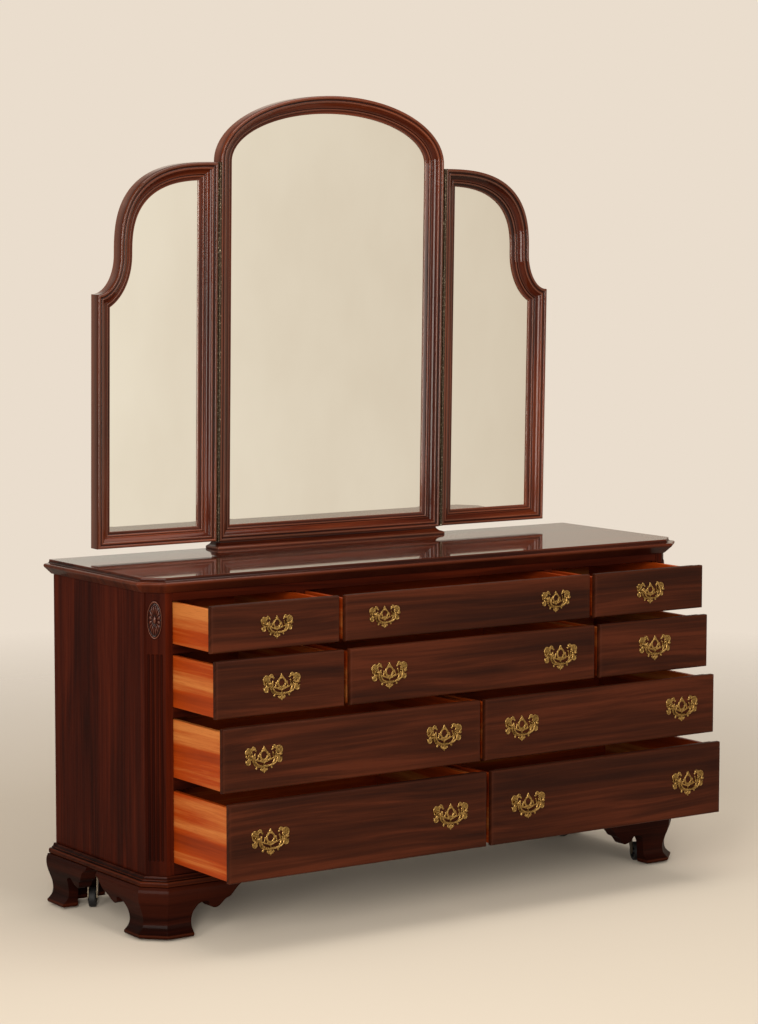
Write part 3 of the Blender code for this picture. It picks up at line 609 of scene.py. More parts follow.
class Shell:
    """The closed surfaces of one piece, kept as whole arrays until they become a mesh.

    Each corner of a face has grain coordinates in metres, along and across the grain.
    """

    boards_made = 0

    def __init__(self) -> None:
        """Start empty."""
        self.points: list[Array] = []
        self.relief: list[Array] = []
        self.faces: list[Array] = []
        self.grain: list[Array] = []
        self.count = 0

    def add_points(self, points: Array, relief: Array | float = 0.5) -> int:
        """Add points and how much each stands out; returns the first one's number."""
        flat = points.reshape(-1, 3)
        first = self.count
        self.points.append(flat)
        self.relief.append(np.broadcast_to(np.asarray(relief, float), points.shape[:-1]).reshape(-1))
        self.count += len(flat)
        return first

    def add_grid(self, points: Array, grain: Array, relief: Array | float = 0.5, close_rows: bool = False,
                 close_cols: bool = False) -> Array:
        """Add a sheet of quads over a grid of points.

        Args:
            points: Rows by columns by three.
            grain: Grain coordinates, with one more row or column where the grid closes.
            relief: How much each point stands out.
            close_rows: Whether the last row joins the first.
            close_cols: Whether the last column joins the first.
        Returns:
            The numbers of the points, rows by columns.
        """
        rows, cols = points.shape[:2]
        first = self.add_points(points, relief)
        row = np.arange(rows - 1 + close_rows)[:, None]
        col = np.arange(cols - 1 + close_cols)[None, :]
        corners = ((row, col), (row, col + 1), (row + 1, col + 1), (row + 1, col))
        self.faces.append(np.stack([first + (r % rows) * cols + c % cols for r, c in corners],
                                   axis=-1).reshape(-1, 4))
        self.grain.append(np.stack([grain[r, c] for r, c in corners], axis=-2).reshape(-1, 4, 2))
        return first + np.arange(rows * cols).reshape(rows, cols)

    def add_cap(self, ring: Array, grain: Array) -> None:
        """Close a ring of points with one flat face."""
        self.faces.append(ring.reshape(1, -1))
        self.grain.append(grain.reshape(1, len(ring), 2))

    def volume(self) -> float:
        """The signed volume inside the shell: a sixth of each fan triangle's box product."""
        points = np.vstack(self.points)
        total = 0.0
        for faces in self.faces:
            corners = points[faces]
            cross = np.cross(corners[:, 1:-1], corners[:, 2:])
            total += (corners[:, :1] * cross).sum() / 6
        return total

    def outward(self) -> Shell:
        """Turn every face round if the shell is inside out."""
        if self.volume() < 0:
            self.faces = [faces[:, ::-1] for faces in self.faces]
            self.grain = [grain[:, ::-1] for grain in self.grain]
        return self

    def planar_grain(self, along: int, across: int) -> Shell:
        """Lay the grain straight through the piece, as in solid wood.

        The first grain coordinate is the place along one axis, the second the sum of the
        places along the other two.

        Args:
            along: The grain's axis.
            across: The axis across the grain on the widest face.
        Returns:
            The shell itself.
        """
        points = np.vstack(self.points)
        rest = 3 - along - across
        plane = np.stack([points[:, along], points[:, across] + points[:, rest]], axis=1)
        self.grain = [plane[faces] for faces in self.faces]
        return self.shifted_grain()

    def shifted_grain(self) -> Shell:
        """Move the grain coordinates to a place of their own, as on a board of its own."""
        Shell.boards_made += 1
        shift = np.array([0.737, 0.391]) * Shell.boards_made
        self.grain = [grain + shift for grain in self.grain]
        return self

    def join(self, *others: Shell) -> Shell:
        """Take in other shells."""
        for other in others:
            self.points += other.points
            self.relief += other.relief
            self.faces += [faces + self.count for faces in other.faces]
            self.grain += other.grain
            self.count += other.count
        return self

    def to_object(self, name: str, finish: Material, sharp_deg: float = 32.0,
                  weld: bool = False) -> Piece:
        """Make the mesh and its object.

        Args:
            name: The piece's name.
            finish: Its material.
            sharp_deg: Edges that turn more than this stay sharp.
            weld: Whether points that coincide are merged.
        Returns:
            The new object, at the origin.
        """
        mesh = bpy.data.meshes.new(name)
        faces = [face for group in self.faces for face in group.tolist()]
        mesh.from_pydata(np.vstack(self.points), [], faces)
        layer = mesh.uv_layers.new(name=GRAIN_MAP)
        layer.data.foreach_set("uv", np.concatenate([grain.ravel() for grain in self.grain]))
        relief = mesh.attributes.new(RELIEF, "FLOAT", "POINT")
        relief.data.foreach_set("value", np.concatenate(self.relief))
        if weld:
            work = bmesh.new()
            work.from_mesh(mesh)
            bmesh.ops.remove_doubles(work, verts=work.verts, dist=2e-6)
            bmesh.ops.dissolve_degenerate(work, edges=work.edges, dist=2e-6)
            work.to_mesh(mesh)
            work.free()
        mesh.update()
        mesh.shade_smooth()
        mesh.set_sharp_from_angle(angle=math.radians(sharp_deg))
        mesh.materials.append(finish)
        made = bpy.data.objects.new(name, mesh)
        bpy.context.scene.collection.objects.link(made)
        # Broad faces reflect as flat ones, and only the narrow eased edges bend the light
        evened = made.modifiers.new("face_weighted_normals", "WEIGHTED_NORMAL")
        evened.keep_sharp = True
        return made


def set_piece(made: Piece, body: str, slot: str, *nodes: str) -> Piece:
    """Let a piece ride on a body and stand for CAD nodes.

    Args:
        made: The piece.
        body: The body's name.
        slot: Not used.
        nodes: The CAD nodes that it stands for.
    Returns:
        The piece.
    """
    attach(made, body)
    if nodes:
        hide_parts(*nodes)
    log.info("%s rides on %s: %d faces", made.name, body, len(made.data.polygons))
    return made


def sweep_shell(outline_at: Callable[[float], Array], section: Array, place: Place,
                relief: Array) -> Shell:
    """Carry a closed section round a closed outline.

    The point at section row i and outline column j is the outline, drawn as far inwards
    as the row's inset, at the row's level.

    Args:
        outline_at: Gives the outline for an inset, always with as many points.
        section: Insets and levels, a closed line.
        place: Turns two plane coordinates and a level into a point.
        relief: How much each row stands out.
    Returns:
        The closed shell.
    """
    plan = np.stack([outline_at(inset) for inset in section[:, 0]])
    levels = np.broadcast_to(section[:, 1, None], plan.shape[:2])
    points = place(plan[..., 0], plan[..., 1], levels)
    along = arc_length(plan[len(plan) // 2], closed=True)
    across = arc_length(section, closed=True)
    grain = np.stack(np.broadcast_arrays(along[None, :], across[:, None]), axis=-1)
    shell = Shell()
    shell.add_grid(points, grain, relief[:, None], close_rows=True, close_cols=True)
    return shell.outward().shifted_grain()


def loft_shell(rings: Array, relief: Sequence[float] | Array | float = 0.5,
               lengthwise: bool = True) -> Shell:
    """A closed body through rings, with a flat cap at either end.

    Args:
        rings: Rings by points by three.
        relief: How much everything, each ring or each point stands out.
        lengthwise: Whether the grain runs from ring to ring, or round the rings.
    Returns:
        The closed shell.
    """
    middle = rings.mean(axis=1)
    along = arc_length(middle)
    around = arc_length(rings[len(rings) // 2], closed=True)
    pair = (along[:, None], around[None, :]) if lengthwise else (around[None, :], along[:, None])
    grain = np.stack(np.broadcast_arrays(*pair), axis=-1)
    values = np.asarray(relief, float)
    shell = Shell()
    numbers = shell.add_grid(rings, grain, values[:, None] if values.ndim == 1 else values,
                             close_cols=True)
    for end, flip in ((0, 1), (-1, -1)):
        flat = rings[end] - middle[end]
        axis = int(np.argmin(np.ptp(flat, axis=0)))
        plane = np.delete(flat, axis, axis=1)
        shell.add_cap(numbers[end][::-flip], plane[::-flip])
    return shell.outward().shifted_grain()


def turned_shell(section: Sequence[tuple[float, float]], sides: int, start: Array, axis: Array,
                 relief: Sequence[float] | float = 0.5) -> Shell:
    """A turned body: rings of each radius at each height along an axis.

    Args:
        section: Radii and heights, from one end to the other.
        sides: Points round a ring.
        start: Where height zero is.
        axis: The direction that the heights go, of length one.
        relief: How much each ring stands out.
    Returns:
        The closed shell.
    """
    radii, heights = np.asarray(section, float).T
    turn = np.arange(sides) * math.tau / sides
    helper = UP if abs(axis[2]) < 0.9 else np.array([1.0, 0.0, 0.0])
    first = np.cross(axis, helper)
    first /= np.linalg.norm(first)
    second = np.cross(axis, first)
    spokes = np.cos(turn)[:, None] * first + np.sin(turn)[:, None] * second
    rings = start + heights[:, None, None] * axis + radii[:, None, None] * spokes[None]
    return loft_shell(rings, relief)


def rounded_rectangle(low: Array, high: Array, cut: float) -> Array:
    """A rectangle between two corners of a plane, with its four corners eased."""
    line = np.array([(low[0], low[1]), (high[0], low[1]), (high[0], high[1]), (low[0], high[1])], float)
    return eased(line, cut, closed=True)


def board_shell(low: Sequence[float], high: Sequence[float], axis: int, ease: float = 0.0012) -> Shell:
    """A planed board between two corners, with its arrises eased.

    Its rings lie across the grain axis: the rectangle with eased corners, drawn inwards
    by the ease at both ends.

    Args:
        low: The lowest corner.
        high: The highest corner.
        axis: The grain's axis, 0, 1 or 2.
        ease: How far each arris is cut back.
    Returns:
        The closed shell.
    """
    low, high = np.asarray(low, float), np.asarray(high, float)
    others = [number for number in range(3) if number != axis]
    plan = rounded_rectangle(low[others], high[others], ease)
    middle = (low[others] + high[others]) / 2
    drawn = middle + (plan - middle) * (1 - 2 * ease / (high - low)[others])
    rings = np.empty((4, len(plan), 3))
    rings[..., others] = np.stack([drawn, plan, plan, drawn])
    rings[..., axis] = np.array([low[axis], low[axis] + ease, high[axis] - ease, high[axis]])[:, None]
    return loft_shell(rings).planar_grain(axis, others[-1])


def grid_quads(rows: int, cols: int) -> Array:
    """The corner numbers of each quad in a grid of points, rows by columns by four."""
    numbers = np.arange(rows * cols).reshape(rows, cols)
    return np.stack([numbers[:-1, :-1], numbers[:-1, 1:], numbers[1:, 1:], numbers[1:, :-1]], axis=-1)


def sheet_shell(front: Array, back: Array, faces: Array, grain: Array, relief: Array) -> Shell:
    """Close two matching sheets into one shell, with a rim along their free edges.

    An edge is free where no face runs along it the other way. Points that no face uses
    are left out.

    Args:
        front: The front sheet's points.
        back: The back sheet's points, one for each front point.
        faces: The front sheet's quads.
        grain: Grain coordinates of each point.
        relief: How much each point stands out.
    Returns:
        The closed shell.
    """
    used, faces = np.unique(faces, return_inverse=True)
    faces = faces.reshape(-1, 4)
    front, back, grain, relief = front[used], back[used], grain[used], relief[used]
    count = len(front)
    starts, ends = faces.ravel(), np.roll(faces, -1, axis=1).ravel()
    free = ~np.isin(starts * count + ends, ends * count + starts)
    a, b = starts[free], ends[free]
    rim = np.stack([b, a, a + count, b + count], axis=1)
    shell = Shell()
    shell.add_points(np.vstack([front, back]), np.concatenate([relief, relief]))
    both = np.vstack([grain, grain + [0.0, 0.004]])
    for group in (faces, faces[:, ::-1] + count, rim):
        shell.faces.append(group)
        shell.grain.append(both[group])
    return shell.outward().shifted_grain()


def tube_shell(path: Array, radii: Array, sides: int, relief: Array | float = 0.5) -> Shell:
    """A round bar along a path in a plane square to Y.

    The ring at a path point lies across the path: radius times (cosine of the turn along
    the path's own normal, sine of the turn along Y).

    Args:
        path: Points of the path.
        radii: The bar's radius at each point.
        sides: Points round a ring.
        relief: How much each ring stands out.
    Returns:
        The closed shell.
    """
    course = np.gradient(path, axis=0)
    course /= np.linalg.norm(course, axis=1)[:, None]
    normal = np.stack([course[:, 2], np.zeros(len(path)), -course[:, 0]], axis=1)
    turn = np.arange(sides) * math.tau / sides
    spokes = (np.cos(turn)[None, :, None] * normal[:, None, :]
              + np.sin(turn)[None, :, None] * np.array([0.0, 1.0, 0.0]))
    rings = path[:, None, :] + radii[:, None, None] * spokes
    return loft_shell(rings, relief)


# Case

@dataclass(frozen=True)
class CasePlan:
    """The case in plan: a rectangle with chamfered front corners, open at no side."""

    front: float
    half_width: float = 0.7985
    depth: float = 0.487
    chamfer: float = 0.036
    top: float = 0.836
    bottom: float = 0.1554
    post_width: float = 0.0564
    side_thickness: float = 0.020
    back_inset: float = 0.010
    post_depth: float = 0.050

    def outline(self, overhang: float, cut: float = 0.0012) -> Array:
        """The plan grown on its front and sides.

        Args:
            overhang: How far it is grown.
            cut: How far its front corners are eased.
        Returns:
            The outline, anticlockwise from the back's left end.
        """
        side, half = self.half_width + overhang, self.half_width
        corner = self.corner(overhang)
        knots = np.array([(-side, self.depth), (-side, corner), (corner - half, -overhang),
                          (half - corner, -overhang), (side, corner), (side, self.depth)])
        return eased(knots + [0.0, self.front], cut, closed=True)

    def corner(self, overhang: float) -> float:
        """How far the grown plan's chamfer reaches along a side."""
        return self.chamfer - overhang * (math.sqrt(2) - 1)

    def chamfer_point(self, side: int, along: Array, out: Array, height: Array) -> Array:
        """Points on a front corner's chamfer.

        The chamfer's middle is half its reach from either face. A point lies along it by
        (1, -1) over the root of two, and out of it by (-1, -1) over the root of two.

        Args:
            side: 1 for the left corner, -1 for the right one.
            along: Distances along the chamfer.
            out: Distances out of it.
            height: Heights above the floor.
        Returns:
            The points.
        """
        slant = math.sqrt(0.5)
        x = self.chamfer / 2 - self.half_width + slant * (along - out)
        y = self.front + self.chamfer / 2 - slant * (along + out)
        return np.stack(np.broadcast_arrays(side * x, y, height), axis=-1)


@dataclass(frozen=True)
class MouldedSlab:
    """A board whose front and sides are moulded, such as the top or the base.

    A ring of the case's plan stands at every point of the moulding's section, grown by
    the point's overhang, at the point's level.
    """

    name: str
    node: str
    plan: CasePlan
    section: Array

    def build(self, finish: Material) -> Piece:
        """Make the slab."""
        rings = []
        for overhang, level in self.section:
            outline = self.plan.outline(overhang)
            rings.append(np.column_stack([outline, np.full(len(outline), level)]))
        shell = loft_shell(np.stack(rings), section_relief(self.section)).planar_grain(0, 1)
        return set_piece(shell.to_object(self.name, finish), "cabinet", "lacquered_cherry", self.node)


def top_section(under: float) -> Array:
    """The top's edge: a long slope under a round nose, a step, a cove and an eased arris.

    Args:
        under: The level of its underside.
    Returns:
        Overhangs and levels, upwards.
    """
    slope = smooth_line([(0.0056, 0.0), (0.0080, 0.0012), (0.0112, 0.0042), (0.0160, 0.0084),
                         (0.0210, 0.0130), (0.0252, 0.0166), (0.0277, 0.0192), (0.0287, 0.0217),
                         (0.0284, 0.0240), (0.0268, 0.0258), (0.0244, 0.0267)], 3)
    line = Section((0.0, 0.0)).to(*slope, (0.0196, 0.0272), (0.0178, 0.0276))
    line = line.arc((0.0128, 0.0322), -0.35, 5).to((0.0122, 0.0366), (0.0, 0.0366))
    return line.points(0.0009)[1:-1] + [0.0, under]


def base_section(under: float) -> Array:
    """The base's edge: a heavy rounded torus, a quirk and a cove up to the case.

    Args:
        under: The level of its underside.
    Returns:
        Overhangs and levels, upwards.
    """
    torus = smooth_line([(0.0178, 0.0003), (0.0205, 0.0016), (0.0216, 0.0048), (0.0216, 0.0090),
                         (0.0206, 0.0118), (0.0188, 0.0130)], 3)
    line = Section((0.0, 0.0003)).to(*torus, (0.0136, 0.0133), (0.0130, 0.0140), (0.0126, 0.0162))
    line = line.arc((0.0082, 0.0204), -0.3, 5).to((0.0072, BASE_MOULDING), (0.0, BASE_MOULDING))
    return line.points(0.0006)[1:-1] + [0.0, under]


@dataclass(frozen=True)
class FlutedSide:
    """A side of the case and its front corner post, fluted on the chamfer.

    A flute is what a round-nosed cutter leaves: at a distance r from its middle line its
    depth is the root of R squared less r squared, less R, plus the full depth, if that is
    above zero. Its middle line stops a half opening before either end, so it ends round.
    The chamfer is painted darker than the faces, as shade, and the flutes darker still by their depth,
    partly as glazing and partly as painted shade.
    """

    plan: CasePlan
    side: int
    flutes: int = 4
    pitch: float = 0.0105
    radius: float = 0.0046
    depth: float = 0.0024
    low: float = 0.189
    high: float = 0.689
    chamfer_ease: float = 0.0012
    face_ease: float = 0.0022
    chamfer_painted_shade: float = 0.19
    flute_glaze_and_shade: float = 0.14

    def build(self, finish: Material) -> Piece:
        """Make the side."""
        plan = self.plan
        half_open = math.sqrt(self.radius ** 2 - (self.radius - self.depth) ** 2)
        middles = (np.arange(self.flutes) - (self.flutes - 1) / 2) * self.pitch
        across = half_open * np.sin(np.linspace(-math.pi / 2, math.pi / 2, 11))
        half_chamfer = plan.chamfer / math.sqrt(2)
        edge = half_chamfer - self.chamfer_ease
        along = np.concatenate([[-edge], (middles[:, None] + across).ravel(), [edge]])
        ends = half_open * (1 - np.cos(np.linspace(0, math.pi / 2, 8)))
        heights = np.concatenate([[plan.bottom, self.low - 0.001], self.low + ends,
                                  [(self.low + self.high) / 2], (self.high - ends)[::-1],
                                  [self.high + 0.001, plan.top]])
        reach = np.abs(along[:, None] - middles).min(axis=1)
        beyond = np.maximum(np.maximum(self.low + half_open - heights,
                                       heights - self.high + half_open), 0.0)
        span = np.minimum(reach[None, :] ** 2 + beyond[:, None] ** 2, self.radius ** 2)
        cut = np.maximum(np.sqrt(self.radius ** 2 - span) - self.radius + self.depth, 0.0)
        fluted = plan.chamfer_point(1, along[None, :], -cut, heights[:, None])
        post, inner = plan.post_width - plan.half_width, plan.side_thickness - plan.half_width
        before = np.array([(inner, plan.depth), (-plan.half_width, plan.depth),
                           (-plan.half_width, plan.chamfer + self.face_ease)])
        after = np.array([(plan.chamfer + self.face_ease - plan.half_width, 0.0), (post, 0.0),
                          (post, plan.post_depth), (inner, plan.post_depth)])
        rows = [np.column_stack([np.tile(group + [0.0, plan.front], (len(heights), 1)),
                                 np.repeat(heights, len(group))]).reshape(len(heights), -1, 3)
                for group in (before, after)]
        rings = np.concatenate([rows[0], fluted, rows[1]], axis=1) * [self.side, 1.0, 1.0]
        relief = np.full(rings.shape[:2], 0.5)
        # The chamfer takes painted shade, and the flutes more by their depth, partly glazing and partly
        # painted shade
        relief[:, len(before):-len(after)] -= self.chamfer_painted_shade + self.flute_glaze_and_shade * cut / self.depth
        node = "side_left" if self.side == 1 else "side_right"
        made = loft_shell(rings, relief).to_object("cabinet_" + node, finish, sharp_deg=38.0)
        return set_piece(made, "cabinet", "lacquered_cherry", node)


@dataclass(frozen=True)
class CarvedOval:
    """A carved oval patera on a corner post: a rim bead, a ring of petals and a button.

    Its height is a function of r, the share of the way from its middle to its edge, and
    the turn. The rim is a half sine to the power 1.4 over r 0.84 to 1. The petals are a
    half sine to the power 0.6 over r 0.26 to 0.80, times the size of the sine of the turn
    times half their number, to the power 0.55. The button is a quarter ellipse over r 0
    to 0.22.
    """

    plan: CasePlan
    side: int
    drop: float = 0.0656
    half_width: float = 0.019
    half_height: float = 0.047
    relief: float = 0.0035
    petals: int = 16

    def build(self, finish: Material) -> Piece:
        """Make the oval."""
        share = np.concatenate([[1.0, 1.0], np.linspace(0.99, 0.80, 12), np.linspace(0.775, 0.24, 18),
                                np.linspace(0.22, 0.01, 8)])[:, None]
        turn = (np.arange(8 * self.petals) * math.tau / (8 * self.petals))[None, :]
        rim = np.sin(math.pi * np.clip((1 - share) / 0.16, 0, 1)) ** 1.4
        leaf = np.sin(math.pi * np.clip((share - 0.26) / 0.54, 0, 1)) ** 0.6
        vein = np.abs(np.sin(turn * self.petals / 2)) ** 0.55
        button = np.sqrt(np.clip(1 - (share / 0.22) ** 2, 0, 1))
        height = 0.12 + 0.88 * rim + 0.68 * leaf * vein + 0.80 * button
        height[0] = -0.25
        out = self.relief * np.minimum(height, 1.0)
        middle = self.plan.top - self.drop
        rings = self.plan.chamfer_point(self.side, share * self.half_width * np.cos(turn), out,
                                        middle + share * self.half_height * np.sin(turn))
        # Low places, such as the sunk ring round the oval, take painted shade and glazing, and the rim's
        # crest a painted highlight
        stands = np.clip(0.02 + 0.95 * height, 0, 1)
        shell = loft_shell(rings, stands, lengthwise=False).planar_grain(2, 0)
        name = "carved_oval_left" if self.side == 1 else "carved_oval_right"
        return set_piece(shell.to_object(name, finish, sharp_deg=60.0), "cabinet", "lacquered_cherry")


@dataclass(frozen=True)
class DrawerLevels:
    """The openings of the case's front, from which its rails, stiles and runners follow."""

    plan: CasePlan
    front_heights: tuple[float, ...] = (0.1113, 0.1361, 0.1520, 0.1860)
    split: tuple[bool, ...] = (True, True, False, False)
    top_rail: float = 0.0208
    between: tuple[float, ...] = (0.0242, 0.0258, 0.0295)
    lips: float = 0.0085
    small_width: float = 0.348
    stile: float = 0.0261
    centre_stile: float = 0.0246
    rail_depth: float = 0.060
    stile_depth: float = 0.022
    gap: float = 0.0003

    def rails(self) -> list[tuple[float, float]]:
        """The bottom and top of each rail, from the top one down."""
        top = self.plan.top - self.gap
        found = [(top - self.top_rail, top)]
        for height, below in zip(self.front_heights, (*self.between, None)):
            high = found[-1][0] - (height - self.lips)
            found.append((self.plan.bottom + self.gap if below is None else high - below, high))
        return found

    def stiles(self) -> list[tuple[float, float, float, float]]:
        """The left and right edge, bottom and top of each stile."""
        rails = self.rails()
        divide = sum(rails[sum(self.split)]) / 2
        top, bottom = sum(rails[0]) / 2, sum(rails[-1]) / 2
        inner = self.plan.half_width - self.plan.post_width - self.small_width
        half = self.centre_stile / 2
        return [(-inner, self.stile - inner, divide, top), (inner - self.stile, inner, divide, top),
                (-half, half, bottom, divide)]


@dataclass(frozen=True)
class FaceFrame:
    """The rails and stiles that show between the drawers, in solid cherry."""

    levels: DrawerLevels
    stile_inset: float = 0.0002

    def build(self, finish: Material) -> Piece:
        """Make the frame."""
        levels, plan = self.levels, self.levels.plan
        edge = plan.half_width - plan.post_width - levels.gap
        made = Shell()
        for low, high in levels.rails():
            made.join(board_shell((-edge, plan.front, low),
                                  (edge, plan.front + levels.rail_depth, high), 0))
        for left, right, low, high in levels.stiles():
            made.join(board_shell((left, plan.front + self.stile_inset, low),
                                  (right, plan.front + levels.stile_depth, high), 2))
        return set_piece(made.to_object("face_frame", finish), "cabinet", "lacquered_cherry",
                         "drawer_frame")


@dataclass(frozen=True)
class DustFrames:
    """The runners, guides, rear rails, inner uprights and dust panels behind the face frame."""

    levels: DrawerLevels
    rear_rail: float = 0.030
    runner: float = 0.035
    panel: float = 0.006
    guide: float = 0.018

    def build(self, finish: Material) -> Piece:
        """Make the frames."""
        levels, plan = self.levels, self.levels.plan
        behind = plan.front + plan.post_depth + levels.gap
        back = plan.front + plan.depth - plan.back_inset - levels.gap
        inner = plan.half_width - plan.side_thickness - levels.gap
        edge = plan.half_width - plan.post_width
        small = edge - levels.small_width
        inside = Shell()
        for number, (low, high) in enumerate(levels.rails()):
            beside = levels.split[max(number - 1, 0):number + 1]
            middle = (low + high) / 2
            inside.join(board_shell((-inner, back - self.rear_rail, low), (inner, back, high), 0),
                        board_shell((-inner, behind, middle - self.panel / 2),
                                    (inner, back, middle + self.panel / 2), 0))
            runs = [(edge - self.runner, inner, low, high),
                    (edge, inner, low, high + self.guide * (number > 0))]
            if any(beside):
                runs.append((small - levels.stile - self.runner, small + self.runner, low, high))
            for near, far, bottom, top in runs:
                inside.join(board_shell((-far, behind, bottom), (-near, back, top), 1),
                            board_shell((near, behind, bottom), (far, back, top), 1))
            if not all(beside):
                reach = levels.centre_stile / 2 + self.runner
                inside.join(board_shell((-reach, plan.front + levels.rail_depth, low),
                                        (reach, back, high), 1))
        for left, right, low, high in levels.stiles():
            inside.join(board_shell((left, plan.front + levels.stile_depth, low), (right, back, high), 1))
        return set_piece(inside.to_object("dust_frames", finish), "cabinet", "lacquered_cherry",
                         "drawer_frame")


# Feet and casters

@dataclass(frozen=True)
class BracketFoot:
    """An ogee bracket foot at one corner of the case.

    Its face is a sheet over (place along the plan, place up the foot). The overhang of a
    point follows the ogee at its own height. Below the scroll's root the rows are level
    and end at the leg's inner edge; above it each column starts at the scroll.
    """

    plan: CasePlan
    side: int
    front: bool
    height: float = 0.131
    floor: float = 0.007
    reach: float = 0.235
    brace: float = 0.130
    backing: float = 0.016
    root: float = 0.508
    ogee: Knots = (
        (0.0, 0.0243), (0.008, 0.0259), (0.022, 0.0266), (0.055, 0.0267), (0.072, 0.0260),
        (0.080, 0.0236), (0.090, 0.0222), (0.100, 0.0212), (0.118, 0.0186), (0.140, 0.0158),
        (0.165, 0.0136), (0.190, 0.0121), (0.235, 0.0106), (0.290, 0.0100), (0.350, 0.0106),
        (0.430, 0.0125), (0.500, 0.0157), (0.575, 0.0196), (0.655, 0.0236), (0.735, 0.0267),
        (0.800, 0.0281), (0.870, 0.0286), (0.940, 0.0272), (1.0, 0.0237))
    leg: Knots = ((0.405, 0.0), (0.413, 0.148), (0.418, 0.369), (0.434, 0.508))
    scroll: Knots = (
        (0.434, 0.508), (0.477, 0.631), (0.557, 0.672), (0.601, 0.648), (0.618, 0.566), (0.679, 0.507),
        (0.732, 0.525), (0.776, 0.619), (0.803, 0.667), (0.847, 0.701), (0.883, 0.780), (0.935, 0.880),
        (1.0, 0.940))

    @property
    def corner_name(self) -> str:
        """The corner that the foot stands at."""
        return ("front" if self.front else "back") + ("_left" if self.side == -1 else "_right")

    def place(self, inwards: Array, along: Array, height: Array) -> Array:
        """Points from distances in from the case's side and from its front or back."""
        x = self.side * (self.plan.half_width - inwards)
        y = self.plan.front + (along if self.front else self.plan.depth - along)
        return np.stack(np.broadcast_arrays(x, y, height), axis=-1)

    def overhang(self, height: Array) -> Array:
        """How far the face stands out of the case at a height."""
        line = smooth_line(self.ogee, 4)
        return np.interp((height - self.floor) / (self.height - self.floor), line[:, 0], line[:, 1])

    def columns(self) -> tuple[Array, Array]:
        """Each column's arm (-1 side, 0 corner, 1 front or brace) and its share of the arm.

        A share up to 1 lies on the leg, a share of 1 to 2 between the leg and the end.
        """
        inner, outer = np.linspace(0, 1, 9), 1 + np.linspace(0, 1, 53)[1:]
        arm = np.concatenate([inner, outer])
        other = arm if self.front else np.linspace(0, 1, 9)
        corner = np.array([0.05, 0.5, 0.95]) if self.front else np.array([])
        arms = np.concatenate([np.full(len(arm), -1), np.zeros(len(corner)), np.full(len(other), 1)])
        return arms, np.concatenate([arm[::-1], corner, other])

    def faces_grid(self) -> tuple[Array, Array, Array]:
        """The face's and the inner wall's points, rows by columns, and which quads exist."""
        arms, shares = self.columns()
        scroll = smooth_line(self.scroll, 4)
        scroll[:, 0] = np.maximum.accumulate(scroll[:, 0])
        leg = smooth_line(self.leg, 4)
        root = self.root * self.height
        low = np.linspace(self.floor, root, 17)
        rise = np.linspace(0, 1, 27)
        scrolled = (arms == -1) | self.front & (arms == 1)
        along_scroll = np.clip(shares - 1, 0, 1) * (scroll[-1, 0] - scroll[0, 0]) + scroll[0, 0]
        scroll_height = np.interp(along_scroll, scroll[:, 0], scroll[:, 1]) * self.height
        start = np.where(scrolled, scroll_height, root)
        upper = start + rise[:, None] * (self.height - start)
        heights = np.vstack([np.broadcast_to(low[:-1, None], (len(low) - 1, len(arms))), upper])
        leg_end = np.interp(heights / self.height, leg[:, 1], leg[:, 0]) * self.reach
        leg_end = np.where(scrolled, np.where(heights < root, leg_end, self.root_end), self.brace)
        overhang = self.overhang(heights)
        first = self.plan.corner(overhang) if self.front else np.where(arms == -1, 0.0, -overhang)
        distance = np.where(shares <= 1, first + shares * (leg_end - first), along_scroll * self.reach)
        face_out = overhang if self.front else np.where(arms == 1, 0.0, overhang)
        slant = shares * (first + overhang) - overhang
        slant_back = (1 - shares) * (first + overhang) - overhang
        inwards = np.select([arms == -1, arms == 1], [-overhang, distance], slant)
        along = np.select([arms == -1, arms == 1], [distance, -face_out], slant_back)
        face = self.place(inwards, along, heights)
        wall = np.maximum(distance, self.backing)
        inner_in = np.where(arms == 1, wall, self.backing)
        inner_along = np.where(arms == -1, wall, self.backing)
        back = self.place(inner_in, inner_along, heights)
        keep = np.ones((len(heights) - 1, len(arms) - 1), bool)
        keep[:len(low) - 1] = (shares[:-1] <= 1) & (shares[1:] <= 1)
        return face, back, keep

    @property
    def root_end(self) -> float:
        """How far the leg reaches along the case at the scroll's root."""
        return self.scroll[0][0] * self.reach

    def build(self, finish: Material) -> Piece:
        """Make the foot's brackets."""
        face, back, keep = self.faces_grid()
        rows, cols = face.shape[:2]
        quads = grid_quads(rows, cols)[keep]
        heights = face[..., 2]
        along = np.broadcast_to(arc_length(face[rows // 2])[None, :], (rows, cols))
        grain = np.stack([along, heights], axis=-1).reshape(-1, 2)
        line = smooth_line(self.ogee, 4)
        stands = section_relief(np.column_stack([line[:, 1], line[:, 0] * self.height]))
        levels = self.floor + line[:, 0] * (self.height - self.floor)
        relief = np.interp(heights.ravel(), levels, stands)
        shell = sheet_shell(face.reshape(-1, 3), back.reshape(-1, 3), quads, grain, relief)
        made = shell.to_object("bracket_foot_" + self.corner_name, finish, sharp_deg=34.0, weld=True)
        return set_piece(made, "cabinet", "lacquered_cherry", "foot_" + self.corner_name)


@dataclass(frozen=True)
class FootBlocks:
    """The glue blocks behind a foot, which the glide and the caster are fixed to."""

    foot: BracketFoot
    caster_height: float = 0.080
    far: tuple[float, float] = (0.091, 0.097)
    heel: float = 0.034
    ease: float = 0.0015

    def build(self, finish: Material) -> Piece:
        """Make the blocks."""
        foot = self.foot
        blocks = Shell()
        for far_in, far_along, bottom in ((*self.far, self.caster_height),
                                          (self.heel, self.heel, foot.floor)):
            corners = np.stack([foot.place(foot.backing, foot.backing, bottom),
                                foot.place(far_in, far_along, foot.height)])
            blocks.join(board_shell(corners.min(axis=0), corners.max(axis=0), 2, self.ease))
        made = blocks.to_object("glue_blocks_" + foot.corner_name, finish)
        return set_piece(made, "cabinet", "lacquered_cherry", "foot_" + foot.corner_name)


